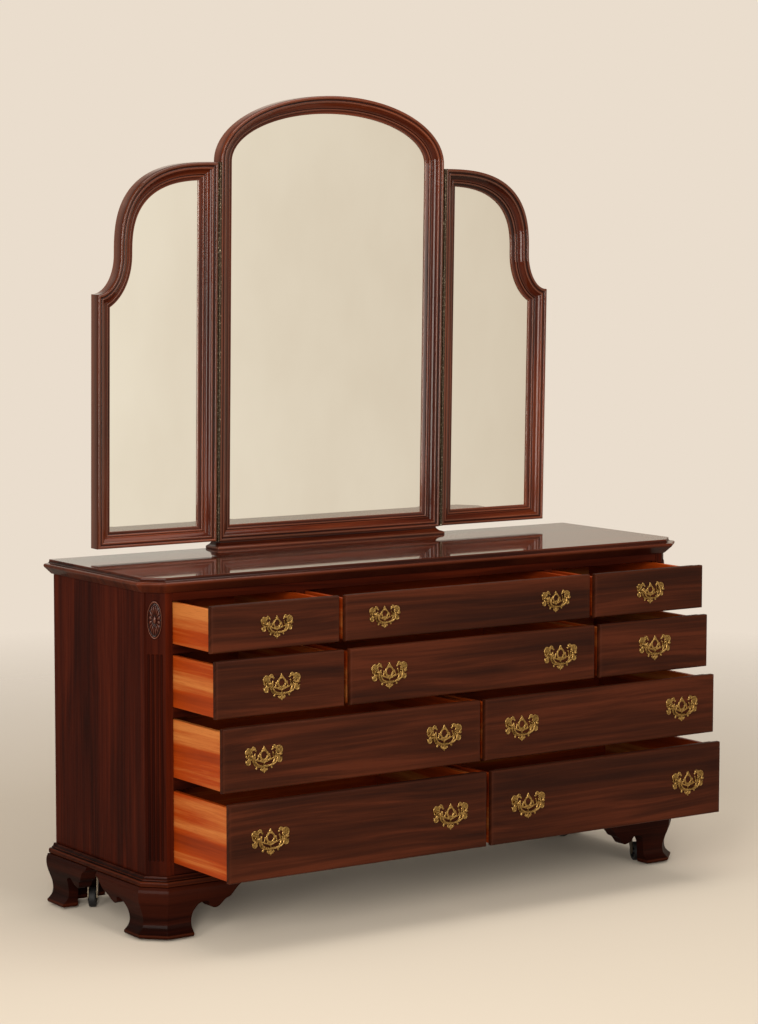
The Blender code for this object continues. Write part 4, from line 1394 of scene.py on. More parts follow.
@dataclass(frozen=True)
class Glide:
    """A domed steel glide driven into the heel of a foot."""

    foot: BracketFoot
    inset: float = 0.022
    section: Knots = (
        (0.0004, 0.0), (0.0040, 0.0001), (0.0068, 0.0006), (0.0084, 0.0014), (0.0090, 0.0026),
        (0.0090, 0.0070), (0.0030, 0.0074), (0.0004, 0.0074))

    def build(self, finish: Material) -> Piece:
        """Make the glide."""
        start = self.foot.place(self.inset, self.inset, 0.0)
        shell = turned_shell(self.section, 24, start, UP)
        made = shell.to_object("glide_" + self.foot.corner_name, finish)
        return set_piece(made, "cabinet", "black_steel", "foot_" + self.foot.corner_name)


def joint_at(name: str) -> tuple[Array, Array]:
    """A joint's place and axis at rest."""
    found = next(joint for joint in frame["joints"] if joint["name"] == name)
    return np.array(found["pos_m"], float), np.array(found["axis"], float)


@dataclass(frozen=True)
class CasterWheel:
    """A caster's wheel: a hard tyre round a hub, both open in the middle for the axle.

    Each is a closed section of radii and places across the wheel, turned round the axle.
    """

    corner: str
    tyre: Knots = (
        (0.0170, -0.0082), (0.0216, -0.0090), (0.0234, -0.0084), (0.0246, -0.0062), (0.0250, -0.0030),
        (0.0250, 0.0030), (0.0246, 0.0062), (0.0234, 0.0084), (0.0216, 0.0090), (0.0170, 0.0082))
    hub: Knots = (
        (0.0043, -0.0090), (0.0078, -0.0090), (0.0086, -0.0082), (0.0098, -0.0050), (0.0150, -0.0046),
        (0.0168, -0.0078), (0.0171, -0.0080), (0.0171, 0.0080), (0.0168, 0.0078), (0.0150, 0.0046),
        (0.0098, 0.0050), (0.0086, 0.0082), (0.0078, 0.0090), (0.0043, 0.0090))
    ease: float = 0.0005

    def build(self, rubber: Material, steel: Material) -> list[Piece]:
        """Make the tyre and the hub."""
        centre, axis = joint_at("roll_" + self.corner)
        turn = np.arange(48) * math.tau / 48
        spokes = np.cos(turn)[:, None] * np.cross(axis, UP) + np.sin(turn)[:, None] * UP
        made = []
        for name, section, finish, slot in (("caster_tyre_", self.tyre, rubber, "black_rubber"),
                                            ("caster_hub_", self.hub, steel, "black_steel")):
            radii, places = eased(np.array(section), self.ease, closed=True).T
            points = centre + places[:, None, None] * axis + radii[:, None, None] * spokes[None]
            shell = Shell()
            grain = np.zeros((len(radii) + 1, len(turn) + 1, 2))
            shell.add_grid(points, grain, 0.5, close_rows=True, close_cols=True)
            piece = shell.outward().to_object(name + self.corner, finish)
            made.append(set_piece(piece, "wheel_" + self.corner, slot, "caster_wheel_" + self.corner))
        return made


# Drawers and pulls

@dataclass(frozen=True)
class DrawerFront:
    """A drawer's lipped front, with a thumbnail round its face.

    Rings of the front's rectangle stand at every point of the edge's section, drawn
    inwards by the point's inset, at the point's distance from the back face. Behind, its
    ends are rabbeted for the drawer's sides.
    """

    drawer: str
    thickness: float = 0.0214
    rabbet_depth: float = 0.0070
    rabbet_width: float = 0.0196
    corner_cut: float = 0.0009

    def section(self) -> Array:
        """Insets and distances from the back: the edge, a quarter oval and the face."""
        line = Section((0.0, self.rabbet_depth)).to((0.0, 0.0157)).to(*smooth_line([
            (0.0, 0.0160), (0.0004, 0.0178), (0.0012, 0.0194), (0.0026, 0.0207), (0.0046, 0.0213)], 3))
        return line.to((0.0054, self.thickness), (0.0200, self.thickness)).points(0.0005)

    def build(self, finish: Material) -> Piece:
        """Make the front."""
        node = "drawer_front_" + self.drawer
        low, high = (np.array(corner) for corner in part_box(node))
        section = np.vstack([[(0.0003, 0.0), (0.0003, self.rabbet_depth - 0.0002)], self.section()])
        rings = []
        for number, (inset, forward) in enumerate(section):
            inwards = np.array([self.rabbet_width if number < 2 else inset, inset])
            plan = rounded_rectangle(low[[0, 2]] + inwards, high[[0, 2]] - inwards, self.corner_cut)
            rings.append(np.column_stack([plan[:, 0], np.full(len(plan), high[1] - forward), plan[:, 1]]))
        shell = loft_shell(np.stack(rings), section_relief(section * [-1.0, 1.0])).planar_grain(0, 2)
        return set_piece(shell.to_object("front_board_" + self.drawer, finish), "drawer_" + self.drawer,
                         "lacquered_cherry", node)


@dataclass(frozen=True)
class DrawerBox:
    """A drawer's two sides and back, grooved round a thin floor."""

    drawer: str
    wall: float = 0.0127
    floor: float = 0.006
    floor_lift: float = 0.008
    back_drop: float = 0.006
    rabbet_reach: float = 0.0068
    ease: float = 0.0016
    lap: float = 0.0004
    groove: float = 0.0006
    front_gap: float = 0.0005

    def build(self, side: Material, plywood: Material) -> list[Piece]:
        """Make the boards and the floor."""
        node, body = "drawer_box_" + self.drawer, "drawer_" + self.drawer
        low, high = (np.array(corner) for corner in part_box(node))
        wall, lap, groove = self.wall, self.lap, self.groove
        near, lift = low[1] - self.rabbet_reach, low[2] + self.floor_lift
        walls = Shell().join(
            board_shell((low[0], near, low[2]), (low[0] + wall, high[1], high[2]), 1, self.ease),
            board_shell((high[0] - wall, near, low[2]), high, 1, self.ease),
            board_shell((low[0] + wall - lap, high[1] - wall, low[2]),
                        (high[0] - wall + lap, high[1] - lap, high[2] - self.back_drop), 0, self.ease))
        panel = board_shell((low[0] + wall - groove, low[1] + self.front_gap, lift),
                            (high[0] - wall + groove, high[1] - wall + groove, lift + self.floor), 0,
                            groove)
        return [set_piece(shell.to_object(name + self.drawer, finish), body, "clear_finished_maple", node)
                for name, shell, finish in (("box_boards_", walls, side), ("box_floor_", panel, plywood))]


@dataclass(frozen=True)
class PiercedPlate:
    """A pierced plate shaped like a bat's wing, drawn in millimetres about its middle.

    Its edge is where a field is zero. Each disc or bar adds the distance to its own edge;
    two of them blend by the lesser of the two distances, less a sixth of the cube of what
    is left of 1 mm apart. Each oval hole takes its own inside away. The field is even in x.
    """

    cell: float = 0.80
    thickness: float = 0.0018
    back_reach: float = 0.0002
    rim: float = 1.1
    dip_start: float = 1.7
    dip_width: float = 0.9
    discs: Knots = (
        (41.4, 19.1, 11.0), (28.9, 26.4, 6.2), (22.5, 21.8, 2.8), (38, 11, 7.0), (43, -4.6, 7.2),
        (50.5, 1, 2), (36, 1, 2), (0, -3, 6), (0, 22, 5.4), (0, 26, 3.6), (0, 30, 1.8),
        (14.6, 10.5, 2.4), (0, -25.5, 4.6), (7.5, -23.5, 3.4), (5, -27, 2.4), (21, -20.5, 2.8))
    bars: Knots = (
        (47.5, 8, 44, 14, 3.6), (40, 6, 42, -2, 3.2), (24.5, 14, 28, 4, 2.4), (36, 8, 31, 2, 2.6),
        (31, 2, 28.5, -5, 2.6), (28.5, -5, 25, -11, 2.6), (25, -11, 19, -15, 2.5),
        (19, -15, 10, -17, 2.4), (10, -17, 0, -17.5, 2.5), (28, 3, 18, -1, 2.4), (18, -1, 8, -4, 2.4),
        (8, -4, 0, -5, 3.4), (0, -6, 0, -17, 2.2), (3.6, 22, 9.6, 14.5, 2.5), (9.6, 14.5, 10.4, 7, 2.6),
        (10.4, 7, 5, -2, 2.9), (18, -1, 15, 9.5, 1.9), (0, -19, 0, -31, 2.0), (0, -18, 0, -22, 3.0),
        (19.5, -16, 21, -20, 2.2))
    holes: Knots = (
        (28.5, 19, 4.0, 4.0), (52.5, 5, 4.5, 4.5), (22.2, 4.6, 2.6, 3.0), (0, 10.2, 4.7, 8.6),
        (10.8, -10.2, 6.4, 3.6))

    def field(self, x: Array, y: Array) -> Array:
        """The field's value at points in millimetres, below zero in the plate."""
        x = np.abs(x)
        parts = [np.hypot(x - u, y - v) - radius for u, v, radius in self.discs]
        for u, v, u_end, v_end, radius in self.bars:
            run, climb = u_end - u, v_end - v
            share = np.clip(((x - u) * run + (y - v) * climb) / (run * run + climb * climb), 0, 1)
            parts.append(np.hypot(x - u - share * run, y - v - share * climb) - radius)
        total = parts[0]
        for part in parts[1:]:
            apart = np.maximum(1.0 - np.abs(total - part), 0.0)
            total = np.minimum(total, part) - apart ** 3 / 6
        for u, v, across, up in self.holes:
            hole = (np.hypot((x - u) / across, (y - v) / up) - 1) * min(across, up)
            total = np.maximum(total, -hole)
        return total

    def sheet(self) -> tuple[Array, Array, Array, Array]:
        """The plate's points, its quads, its face's height and how much each point stands out.

        Quads whose middle is inside are kept, and a border point moves down the field's
        slope to where the field is zero, in two steps of at most half a cell each way. The
        face rises by a quarter circle over its rim and dips again further in.
        """
        x = np.arange(-70, 71) * self.cell
        y = np.arange(-43, 44) * self.cell
        x, y = np.meshgrid(x, y)
        keep = self.field(x[:-1, :-1] + self.cell / 2, y[:-1, :-1] + self.cell / 2) < 0
        for _ in range(3):
            a, b, c, d = keep[:-1, :-1], keep[:-1, 1:], keep[1:, :-1], keep[1:, 1:]
            rising, falling = a & d & ~b & ~c, b & c & ~a & ~d
            b |= rising
            a |= falling
        padded = np.pad(keep, 1).astype(int)
        beside = padded[:-1, :-1] + padded[:-1, 1:] + padded[1:, :-1] + padded[1:, 1:]
        border = (beside > 0) & (beside < 4)
        for _ in range(2):
            value, step = self.field(x, y), 0.05
            slope_x = (self.field(x + step, y) - self.field(x - step, y)) / (2 * step)
            slope_y = (self.field(x, y + step) - self.field(x, y - step)) / (2 * step)
            steep = np.maximum(slope_x ** 2 + slope_y ** 2, 0.25)
            reach = 0.5 * self.cell
            x = x - np.where(border, np.clip(value * slope_x / steep, -reach, reach), 0)
            y = y - np.where(border, np.clip(value * slope_y / steep, -reach, reach), 0)
        inside = np.where(border, 0.0, np.maximum(-self.field(x, y), 0.15))
        rise = np.sqrt(np.clip(1 - (1 - np.clip(inside / self.rim, 0, 1)) ** 2, 0, 1))
        dip = np.clip((inside - self.dip_start) / self.dip_width, 0, 1)
        height = self.thickness * (0.45 + 0.55 * rise - 0.26 * dip)
        relief = 0.28 + 0.62 * rise - 0.50 * dip
        points = np.column_stack([x.ravel(), y.ravel()]) / 1000
        return points, grid_quads(*x.shape)[keep], height.ravel(), relief.ravel()

    def shell(self, sheet: tuple[Array, Array, Array, Array], middle: Array, scale: float) -> Shell:
        """One plate.

        Args:
            sheet: What sheet() gave.
            middle: The plate's middle on the drawer's face.
            scale: The plate's size as a share of the full one.
        Returns:
            The closed shell.
        """
        points, quads, height, relief = sheet
        x, z = (middle[[0, 2]] + scale * points).T
        front = np.column_stack([x, middle[1] - height, z])
        back = np.column_stack([x, np.full(len(x), middle[1] + self.back_reach), z])
        return sheet_shell(front, back, quads, points, relief)


@dataclass(frozen=True)
class PullSizes:
    """The sizes that a pull's posts and bail share, at full scale."""

    post_spacing: float = 0.076
    post_rise: float = 0.011
    axis_out: float = 0.0085
    arm_in: float = 0.0066
    drop: float = 0.0250
    pin_tip: float = 0.0064
    end_radius: float = 0.0020
    middle_radius: float = 0.0026
    pin_radius: float = 0.0018
    ball_rise: float = 0.0009
    small_scale: float = 0.85
    small_row: str = "r1"
    post: Knots = (
        (0.0058, -0.0006), (0.0058, 0.0004), (0.0054, 0.0010), (0.0046, 0.0014), (0.0044, 0.0020),
        (0.0036, 0.0027), (0.0033, 0.0040), (0.0034, 0.0048), (0.0040, 0.0058), (0.0043, 0.0072),
        (0.0043, 0.0092), (0.0040, 0.0102), (0.0036, 0.0106), (0.0038, 0.0110), (0.0036, 0.0117),
        (0.0028, 0.0123), (0.0014, 0.0127), (0.0003, 0.0128))
    bow: Knots = (
        (1.0, 0.0), (1.0, 0.24), (0.965, 0.46), (0.85, 0.70), (0.64, 0.88), (0.34, 0.98), (0.0, 1.0))

    def scale(self, drawer: str) -> float:
        """The size of a drawer's pulls as a share of the full one."""
        return self.small_scale if drawer.startswith(self.small_row) else 1.0


@dataclass(frozen=True)
class PullMounts:
    """The pierced plates and turned posts on one drawer's front."""

    drawer: str
    sizes: PullSizes
    plate: PiercedPlate
    sheet: tuple[Array, Array, Array, Array]

    def build(self, axes: list[Array], finish: Material) -> Piece:
        """Make the mounts.

        Args:
            axes: The middle of each bail's axis.
            finish: Their material.
        Returns:
            The mounts, as one piece.
        """
        sizes, thick = self.sizes, self.plate.thickness
        scale = sizes.scale(self.drawer)
        # The post's base and waist lie back, and its head stands out
        stands = [0.35] * 5 + [0.3] * 3 + [0.75] * (len(sizes.post) - 8)
        mounts = Shell()
        for axis in axes:
            face = axis + [0.0, sizes.axis_out + thick, 0.0]
            mounts.join(self.plate.shell(self.sheet, face - [0.0, 0.0, scale * sizes.post_rise], scale))
            for side in (-1, 1):
                start = face + [side * scale * sizes.post_spacing / 2, -thick, 0.0]
                mounts.join(turned_shell(sizes.post, 24, start, np.array([0.0, -1.0, 0.0]), stands))
        made = mounts.to_object("pull_mounts_" + self.drawer, finish, sharp_deg=40.0)
        return set_piece(made, "drawer_" + self.drawer, "aged_brass", "drawer_front_" + self.drawer)


@dataclass(frozen=True)
class Bail:
    """A hanging bail: a bow that swells towards its middle, and two pins with ball ends."""

    name: str
    sizes: PullSizes

    def build(self, finish: Material) -> Piece:
        """Make the bail."""
        sizes = self.sizes
        middle, _ = joint_at("swing_" + self.name)
        scale = sizes.scale(self.name)
        post = scale * sizes.post_spacing / 2
        reach = post - sizes.arm_in
        knots = np.array(sizes.bow)
        whole = np.vstack([knots, knots[-2::-1] * [-1, 1]])
        line = smooth_line(whole * [reach, scale * sizes.drop] * [1, -1], 6)
        down = -line[:, 1] / (scale * sizes.drop)
        radii = sizes.end_radius + (sizes.middle_radius - sizes.end_radius) * np.clip(down, 0, 1) ** 1.5
        dome = sizes.end_radius * np.array([0.12, 0.55, 0.87])
        lift = sizes.end_radius * np.array([1.0, 0.83, 0.5])
        ends = [np.column_stack([np.full(3, side * reach), lift]) for side in (1, -1)]
        line = np.vstack([ends[0], line, ends[1][::-1]])
        radii = np.concatenate([dome, radii, dome[::-1]])
        path = np.column_stack([line[:, 0], np.zeros(len(line)), line[:, 1]]) + middle
        bail = tube_shell(path, radii, 16, 0.75)
        pin, ball = sizes.pin_radius, sizes.pin_radius + sizes.ball_rise
        tip = post + sizes.pin_tip
        turned = ((0.0003, reach), (pin, reach + 0.0002), (pin, tip - 0.0040), (ball, tip - 0.0030),
                  (ball + 0.0001, tip - 0.0018), (0.8 * ball, tip - 0.0004), (0.4 * ball, tip),
                  (0.0003, tip))
        for side in (-1.0, 1.0):
            bail.join(turned_shell(turned, 16, middle, np.array([side, 0.0, 0.0]), 0.7))
        made = bail.to_object("bail_bow_" + self.name, finish, sharp_deg=40.0)
        return set_piece(made, "bail_" + self.name, "aged_brass", "bail_" + self.name)


# Mirror

@dataclass(frozen=True)
class MirrorPlan:
    """The outlines of the mirror's three parts, and where they stand.

    The centre ends in half an ellipse. A wing's top is a quarter of an oval whose two
    shares, each to the power of its fullness, add up to one, and its shoulder is scooped
    by a quarter ellipse about a point outside it. The bottom rails are narrower than the
    stiles by rail_share, and the right wing's top is lower than the left's by right_drop.
    """

    front: float
    bottom: float = 0.8923
    lean_deg: float = 1.05
    half_width: float = 0.3476
    spring: float = 1.8616
    apex: float = 2.0337
    hinge_gap: float = 0.0064
    wing_width: float = 0.3466
    wing_top: float = 1.8590
    right_drop: float = 0.0080
    curve_width: float = 0.2830
    curve_spring: float = 1.626
    fullness: float = 2.75
    shoulder: float = 1.5285
    wing_lift: float = 0.0016
    rail_share: float = 0.87

    def arch(self, inset: float) -> Array:
        """The centre's outline, drawn inwards, anticlockwise from its lower left corner."""
        bottom, half = self.bottom + self.rail_share * inset, self.half_width - inset
        turn = np.linspace(0, math.pi, 73)
        curve = np.column_stack([half * np.cos(turn),
                                 self.spring + (self.apex - self.spring - inset) * np.sin(turn)])
        return np.vstack([[(-half, bottom), (half, bottom)], curve])

    def wing(self, inset: float) -> Array:
        """A right wing's outline from its hinge side, drawn inwards, anticlockwise."""
        bottom = self.bottom + self.wing_lift + self.rail_share * inset
        outer = self.wing_width - inset
        scoop_width = self.wing_width - self.curve_width + inset
        scoop_rise = self.curve_spring - self.shoulder + inset
        turn = math.acos(inset / scoop_width) * (1 - np.linspace(0, 1, 15))
        scoop = np.column_stack([self.wing_width - scoop_width * np.cos(turn),
                                 self.curve_spring - scoop_rise * np.sin(turn)])
        width, rise = self.curve_width - inset, self.wing_top - self.curve_spring - inset
        power = 2 / self.fullness
        turn = math.acos((inset / width) ** (1 / power)) * np.linspace(0, 1, 46)[1:]
        curve = np.column_stack([width * np.maximum(np.cos(turn), 0) ** power,
                                 self.curve_spring + rise * np.sin(turn) ** power])
        return np.vstack([[(inset, bottom), (outer, bottom)], scoop, curve])

    def centre_place(self, u: Array, v: Array, level: Array) -> Array:
        """Points of the centre from across, up and level, which is minus the depth."""
        return np.stack(np.broadcast_arrays(u, self.front - level, v), axis=-1)

    def wing_place(self, side: int) -> Place:
        """What turns a wing's across, up and level into points."""
        start = self.half_width + self.hinge_gap

        def place(u: Array, v: Array, level: Array) -> Array:
            """A point of the wing."""
            return np.stack(np.broadcast_arrays(side * (start + u), self.front - level, v), axis=-1)

        return place

    def leaned(self, shell: Shell) -> Shell:
        """Lean a shell that was made upright forwards about the front of the base's top."""
        lean = math.radians(self.lean_deg)
        pivot = np.array([0.0, self.front, self.bottom])
        turn = np.array([[1.0, 0.0, 0.0], [0.0, math.cos(lean), -math.sin(lean)],
                         [0.0, math.sin(lean), math.cos(lean)]])
        shell.points = [pivot + (points - pivot) @ turn.T for points in shell.points]
        return shell


def frame_section() -> Array:
    """The frame's section: from its sight edge over its face to its rabbeted back.

    Seen from the sight edge it has a small bead, a long cove, a second bead, a quirk and
    a heavy round bead on its outer edge.
    """
    line = Section((0.0460, -0.0275)).to((0.0460, -0.0248), (0.0452, -0.0238), (0.0380, -0.0214))
    line = line.to((0.0374, -0.0206)).arc((0.0318, -0.0184), 0.62, 8).to((0.0310, -0.0176))
    line = line.to(*smooth_line([(0.0304, -0.0162), (0.0270, -0.0146), (0.0232, -0.0118),
                                 (0.0200, -0.0090), (0.0180, -0.0070)], 3))
    line = line.arc((0.0124, -0.0050), 0.55, 8).to((0.0114, -0.0056), (0.0094, -0.0052))
    line = line.to((0.0088, -0.0040)).arc((0.0002, -0.0046), 0.86, 12).to((0.0, -0.0060))
    line = line.to((0.0, -0.0380), (0.0300, -0.0380), (0.0394, -0.0374), (0.0394, -0.0275))
    return line.points(0.0006)


@dataclass(frozen=True)
class MirrorPart:
    """One of the mirror's three parts: a moulded frame, a backboard and a bevelled glass.

    The frame is its section carried round the outline; the glass and the board are rings
    of the outline, closed by flat faces.
    """

    name: str
    body: str
    frame_node: str
    glass_node: str
    plan: MirrorPlan
    outline: Callable[[float], Array]
    place: Place
    glass_inset: float = 0.0393
    glass_front: float = 0.0278
    glass_thickness: float = 0.005
    bevel_width: float = 0.0200
    bevel_depth: float = 0.00016
    board_front: float = 0.0334
    board_back: float = 0.0372

    def rings(self, shape: Sequence[tuple[float, float]]) -> Array:
        """Rings of the outline at each inset and depth."""
        found = []
        for inset, depth in shape:
            plan = self.outline(inset)
            found.append(self.place(plan[:, 0], plan[:, 1], np.array(-depth)))
        return np.stack(found)

    def build(self, wood: Material, plywood: Material,
              glass: Material) -> list[Piece]:
        """Make the part's three pieces."""
        section = frame_section()
        relief = section_relief(section, closed=True, window=0.0032)
        moulding = self.plan.leaned(sweep_shell(self.outline, section, self.place, relief))
        inset = self.glass_inset
        board = loft_shell(self.rings(((inset, self.board_front), (inset, self.board_back))))
        back, front = self.glass_front + self.glass_thickness, self.glass_front
        pane = loft_shell(self.rings(((inset, back), (inset, front + self.bevel_depth),
                                      (inset + self.bevel_width, front))))
        board = self.plan.leaned(board.planar_grain(2, 0))
        # The pane's edges stay sharp, so that its bevel reflects as a flat of its own
        made = (moulding.to_object(self.name + "_moulding", wood, sharp_deg=30.0, weld=True),
                board.to_object(self.name + "_backboard", plywood),
                self.plan.leaned(pane).to_object(self.name + "_pane", glass, sharp_deg=1.0))
        slots = ("lacquered_cherry", "plain_plywood", "silvered_glass")
        nodes = (self.frame_node, self.frame_node, self.glass_node)
        return [set_piece(piece, self.body, slot, node) for piece, slot, node in zip(made, slots, nodes)]


@dataclass(frozen=True)
class MirrorStand:
    """The moulded block under the centre mirror, and the standards that hold it up."""

    plan: CasePlan
    half_width: float = 0.357
    base_front: float = 0.4247
    top: float = 0.8726
    standard_offset: float = 0.200
    standard_width: float = 0.050
    standard_thickness: float = 0.019
    standard_low: float = 0.609
    standard_high: float = 1.309
    cleat: float = 0.080
    cleat_front: float = 0.4636
    corner_cut: float = 0.0010
    gap: float = 0.0003
    section: Knots = (
        (0.0, 0.0003), (0.0, 0.0050), (0.0006, 0.0061), (0.0018, 0.0067), (0.0026, 0.0069),
        (0.0030, 0.0079), (0.0060, 0.0089), (0.0098, 0.0101), (0.0128, 0.0122), (0.0146, 0.0144),
        (0.0156, 0.0150), (0.0164, 0.0162), (0.0170, 0.0197))

    def build(self, wood: Material, hidden: Material) -> list[Piece]:
        """Make the block and the standards."""
        front, gap = self.plan.front, self.gap
        rear = front + self.plan.depth
        section = eased(np.array(self.section), 0.0005)
        rings = []
        for inset, rise in section:
            low = np.array([inset - self.half_width, front + self.base_front + inset])
            plan = rounded_rectangle(low, np.array([self.half_width - inset, rear]), self.corner_cut)
            rings.append(np.column_stack([plan, np.full(len(plan), self.top + rise)]))
        block = loft_shell(np.stack(rings), section_relief(section * [-1.0, 1.0])).planar_grain(0, 2)
        behind = Shell()
        for side in (-1, 1):
            left = side * self.standard_offset - self.standard_width / 2
            right = left + self.standard_width
            # The standard, its cleat behind the frame and its thin packing behind the block
            behind.join(
                board_shell((left, rear + gap, self.standard_low),
                            (right, rear + gap + self.standard_thickness, self.standard_high), 2, 0.002),
                board_shell((left, front + self.cleat_front, self.standard_high - self.cleat),
                            (right, rear + gap, self.standard_high), 2, 0.0015),
                board_shell((left, rear - 0.0008, self.top + gap),
                            (right, rear + gap, self.top + self.section[-1][1]), 2, 0.0001))
        return [set_piece(shell.to_object(name, finish), "cabinet", "lacquered_cherry", "mirror_frame")
                for name, shell, finish in (("mirror_plinth", block, wood),
                                            ("mirror_standards", behind, hidden))]


@dataclass(frozen=True)
class PianoHinge:
    """A continuous hinge between the centre and a wing: knuckles and leaves.

    Every second knuckle belongs to the centre, the others to the wing.
    """

    side: int
    plan: MirrorPlan
    knuckle: float = 0.012
    radius: float = 0.0026
    bore: float = 0.0018
    leaf: float = 0.0014
    leaf_start: float = 0.0012
    leaf_reach: float = 0.0068

    def half(self, first: int, towards: int) -> Shell:
        """One half of the hinge.

        Args:
            first: The number of its lowest knuckle, 0 or 1.
            towards: -1 where its leaf goes towards the middle of the mirror, 1 away from it.
        Returns:
            The knuckles and the leaf.
        """
        plan = self.plan
        low = plan.bottom + plan.wing_lift
        count = int((plan.wing_top - low) / self.knuckle)
        length = (plan.wing_top - low) / count
        x, y = self.side * (plan.half_width + plan.hinge_gap / 2), plan.front
        made = Shell()
        profile = ((self.bore, 0.0002), (self.radius - 0.0001, 0.0005), (self.radius, 0.0010),
                   (self.radius, length - 0.0010), (self.radius - 0.0001, length - 0.0005),
                   (self.bore, length - 0.0002))
        for number in range(first, count, 2):
            start = np.array([x, y, low + number * length])
            made.join(turned_shell(profile, 12, start, UP, 0.8))
        near, far = sorted(x + self.side * towards * reach
                           for reach in (self.leaf_start, self.leaf_reach))
        back = y + self.radius
        made.join(board_shell((near, back - self.leaf, low), (far, back, plan.wing_top), 2, 0.0002))
        return plan.leaned(made)

    def build(self, finish: Material) -> list[Piece]:
        """Make both halves."""
        end = "left" if self.side == -1 else "right"
        halves = ((0, -1, "hinge_centre_", "cabinet", "mirror_frame"),
                  (1, 1, "hinge_wing_", "wing_" + end, "wing_frame_" + end))
        return [set_piece(self.half(first, towards).to_object(name + end, finish), body, "aged_brass",
                          node) for first, towards, name, body, node in halves]


# Studio

@dataclass(frozen=True)
class Softbox:
    """A rectangular area lamp that points at the dresser."""

    name: str
    place: Triple
    width: float
    height: float
    watts: float
    colour: str = "#fff8ee"
    target: Triple = (0.0, -0.1, 0.9)

    def build(self) -> None:
        """Hang the lamp."""
        lamp = bpy.data.lights.new(self.name, "AREA")
        lamp.shape, lamp.energy = "RECTANGLE", self.watts
        lamp.size, lamp.size_y = self.width, self.height
        lamp.color = linear(self.colour)[:3]
        holder = bpy.data.objects.new(self.name, lamp)
        turn = (Vector(self.target) - Vector(self.place)).to_track_quat("-Z", "Y")
        holder.matrix_world = Matrix.Translation(self.place) @ turn.to_matrix().to_4x4()
        bpy.context.scene.collection.objects.link(holder)


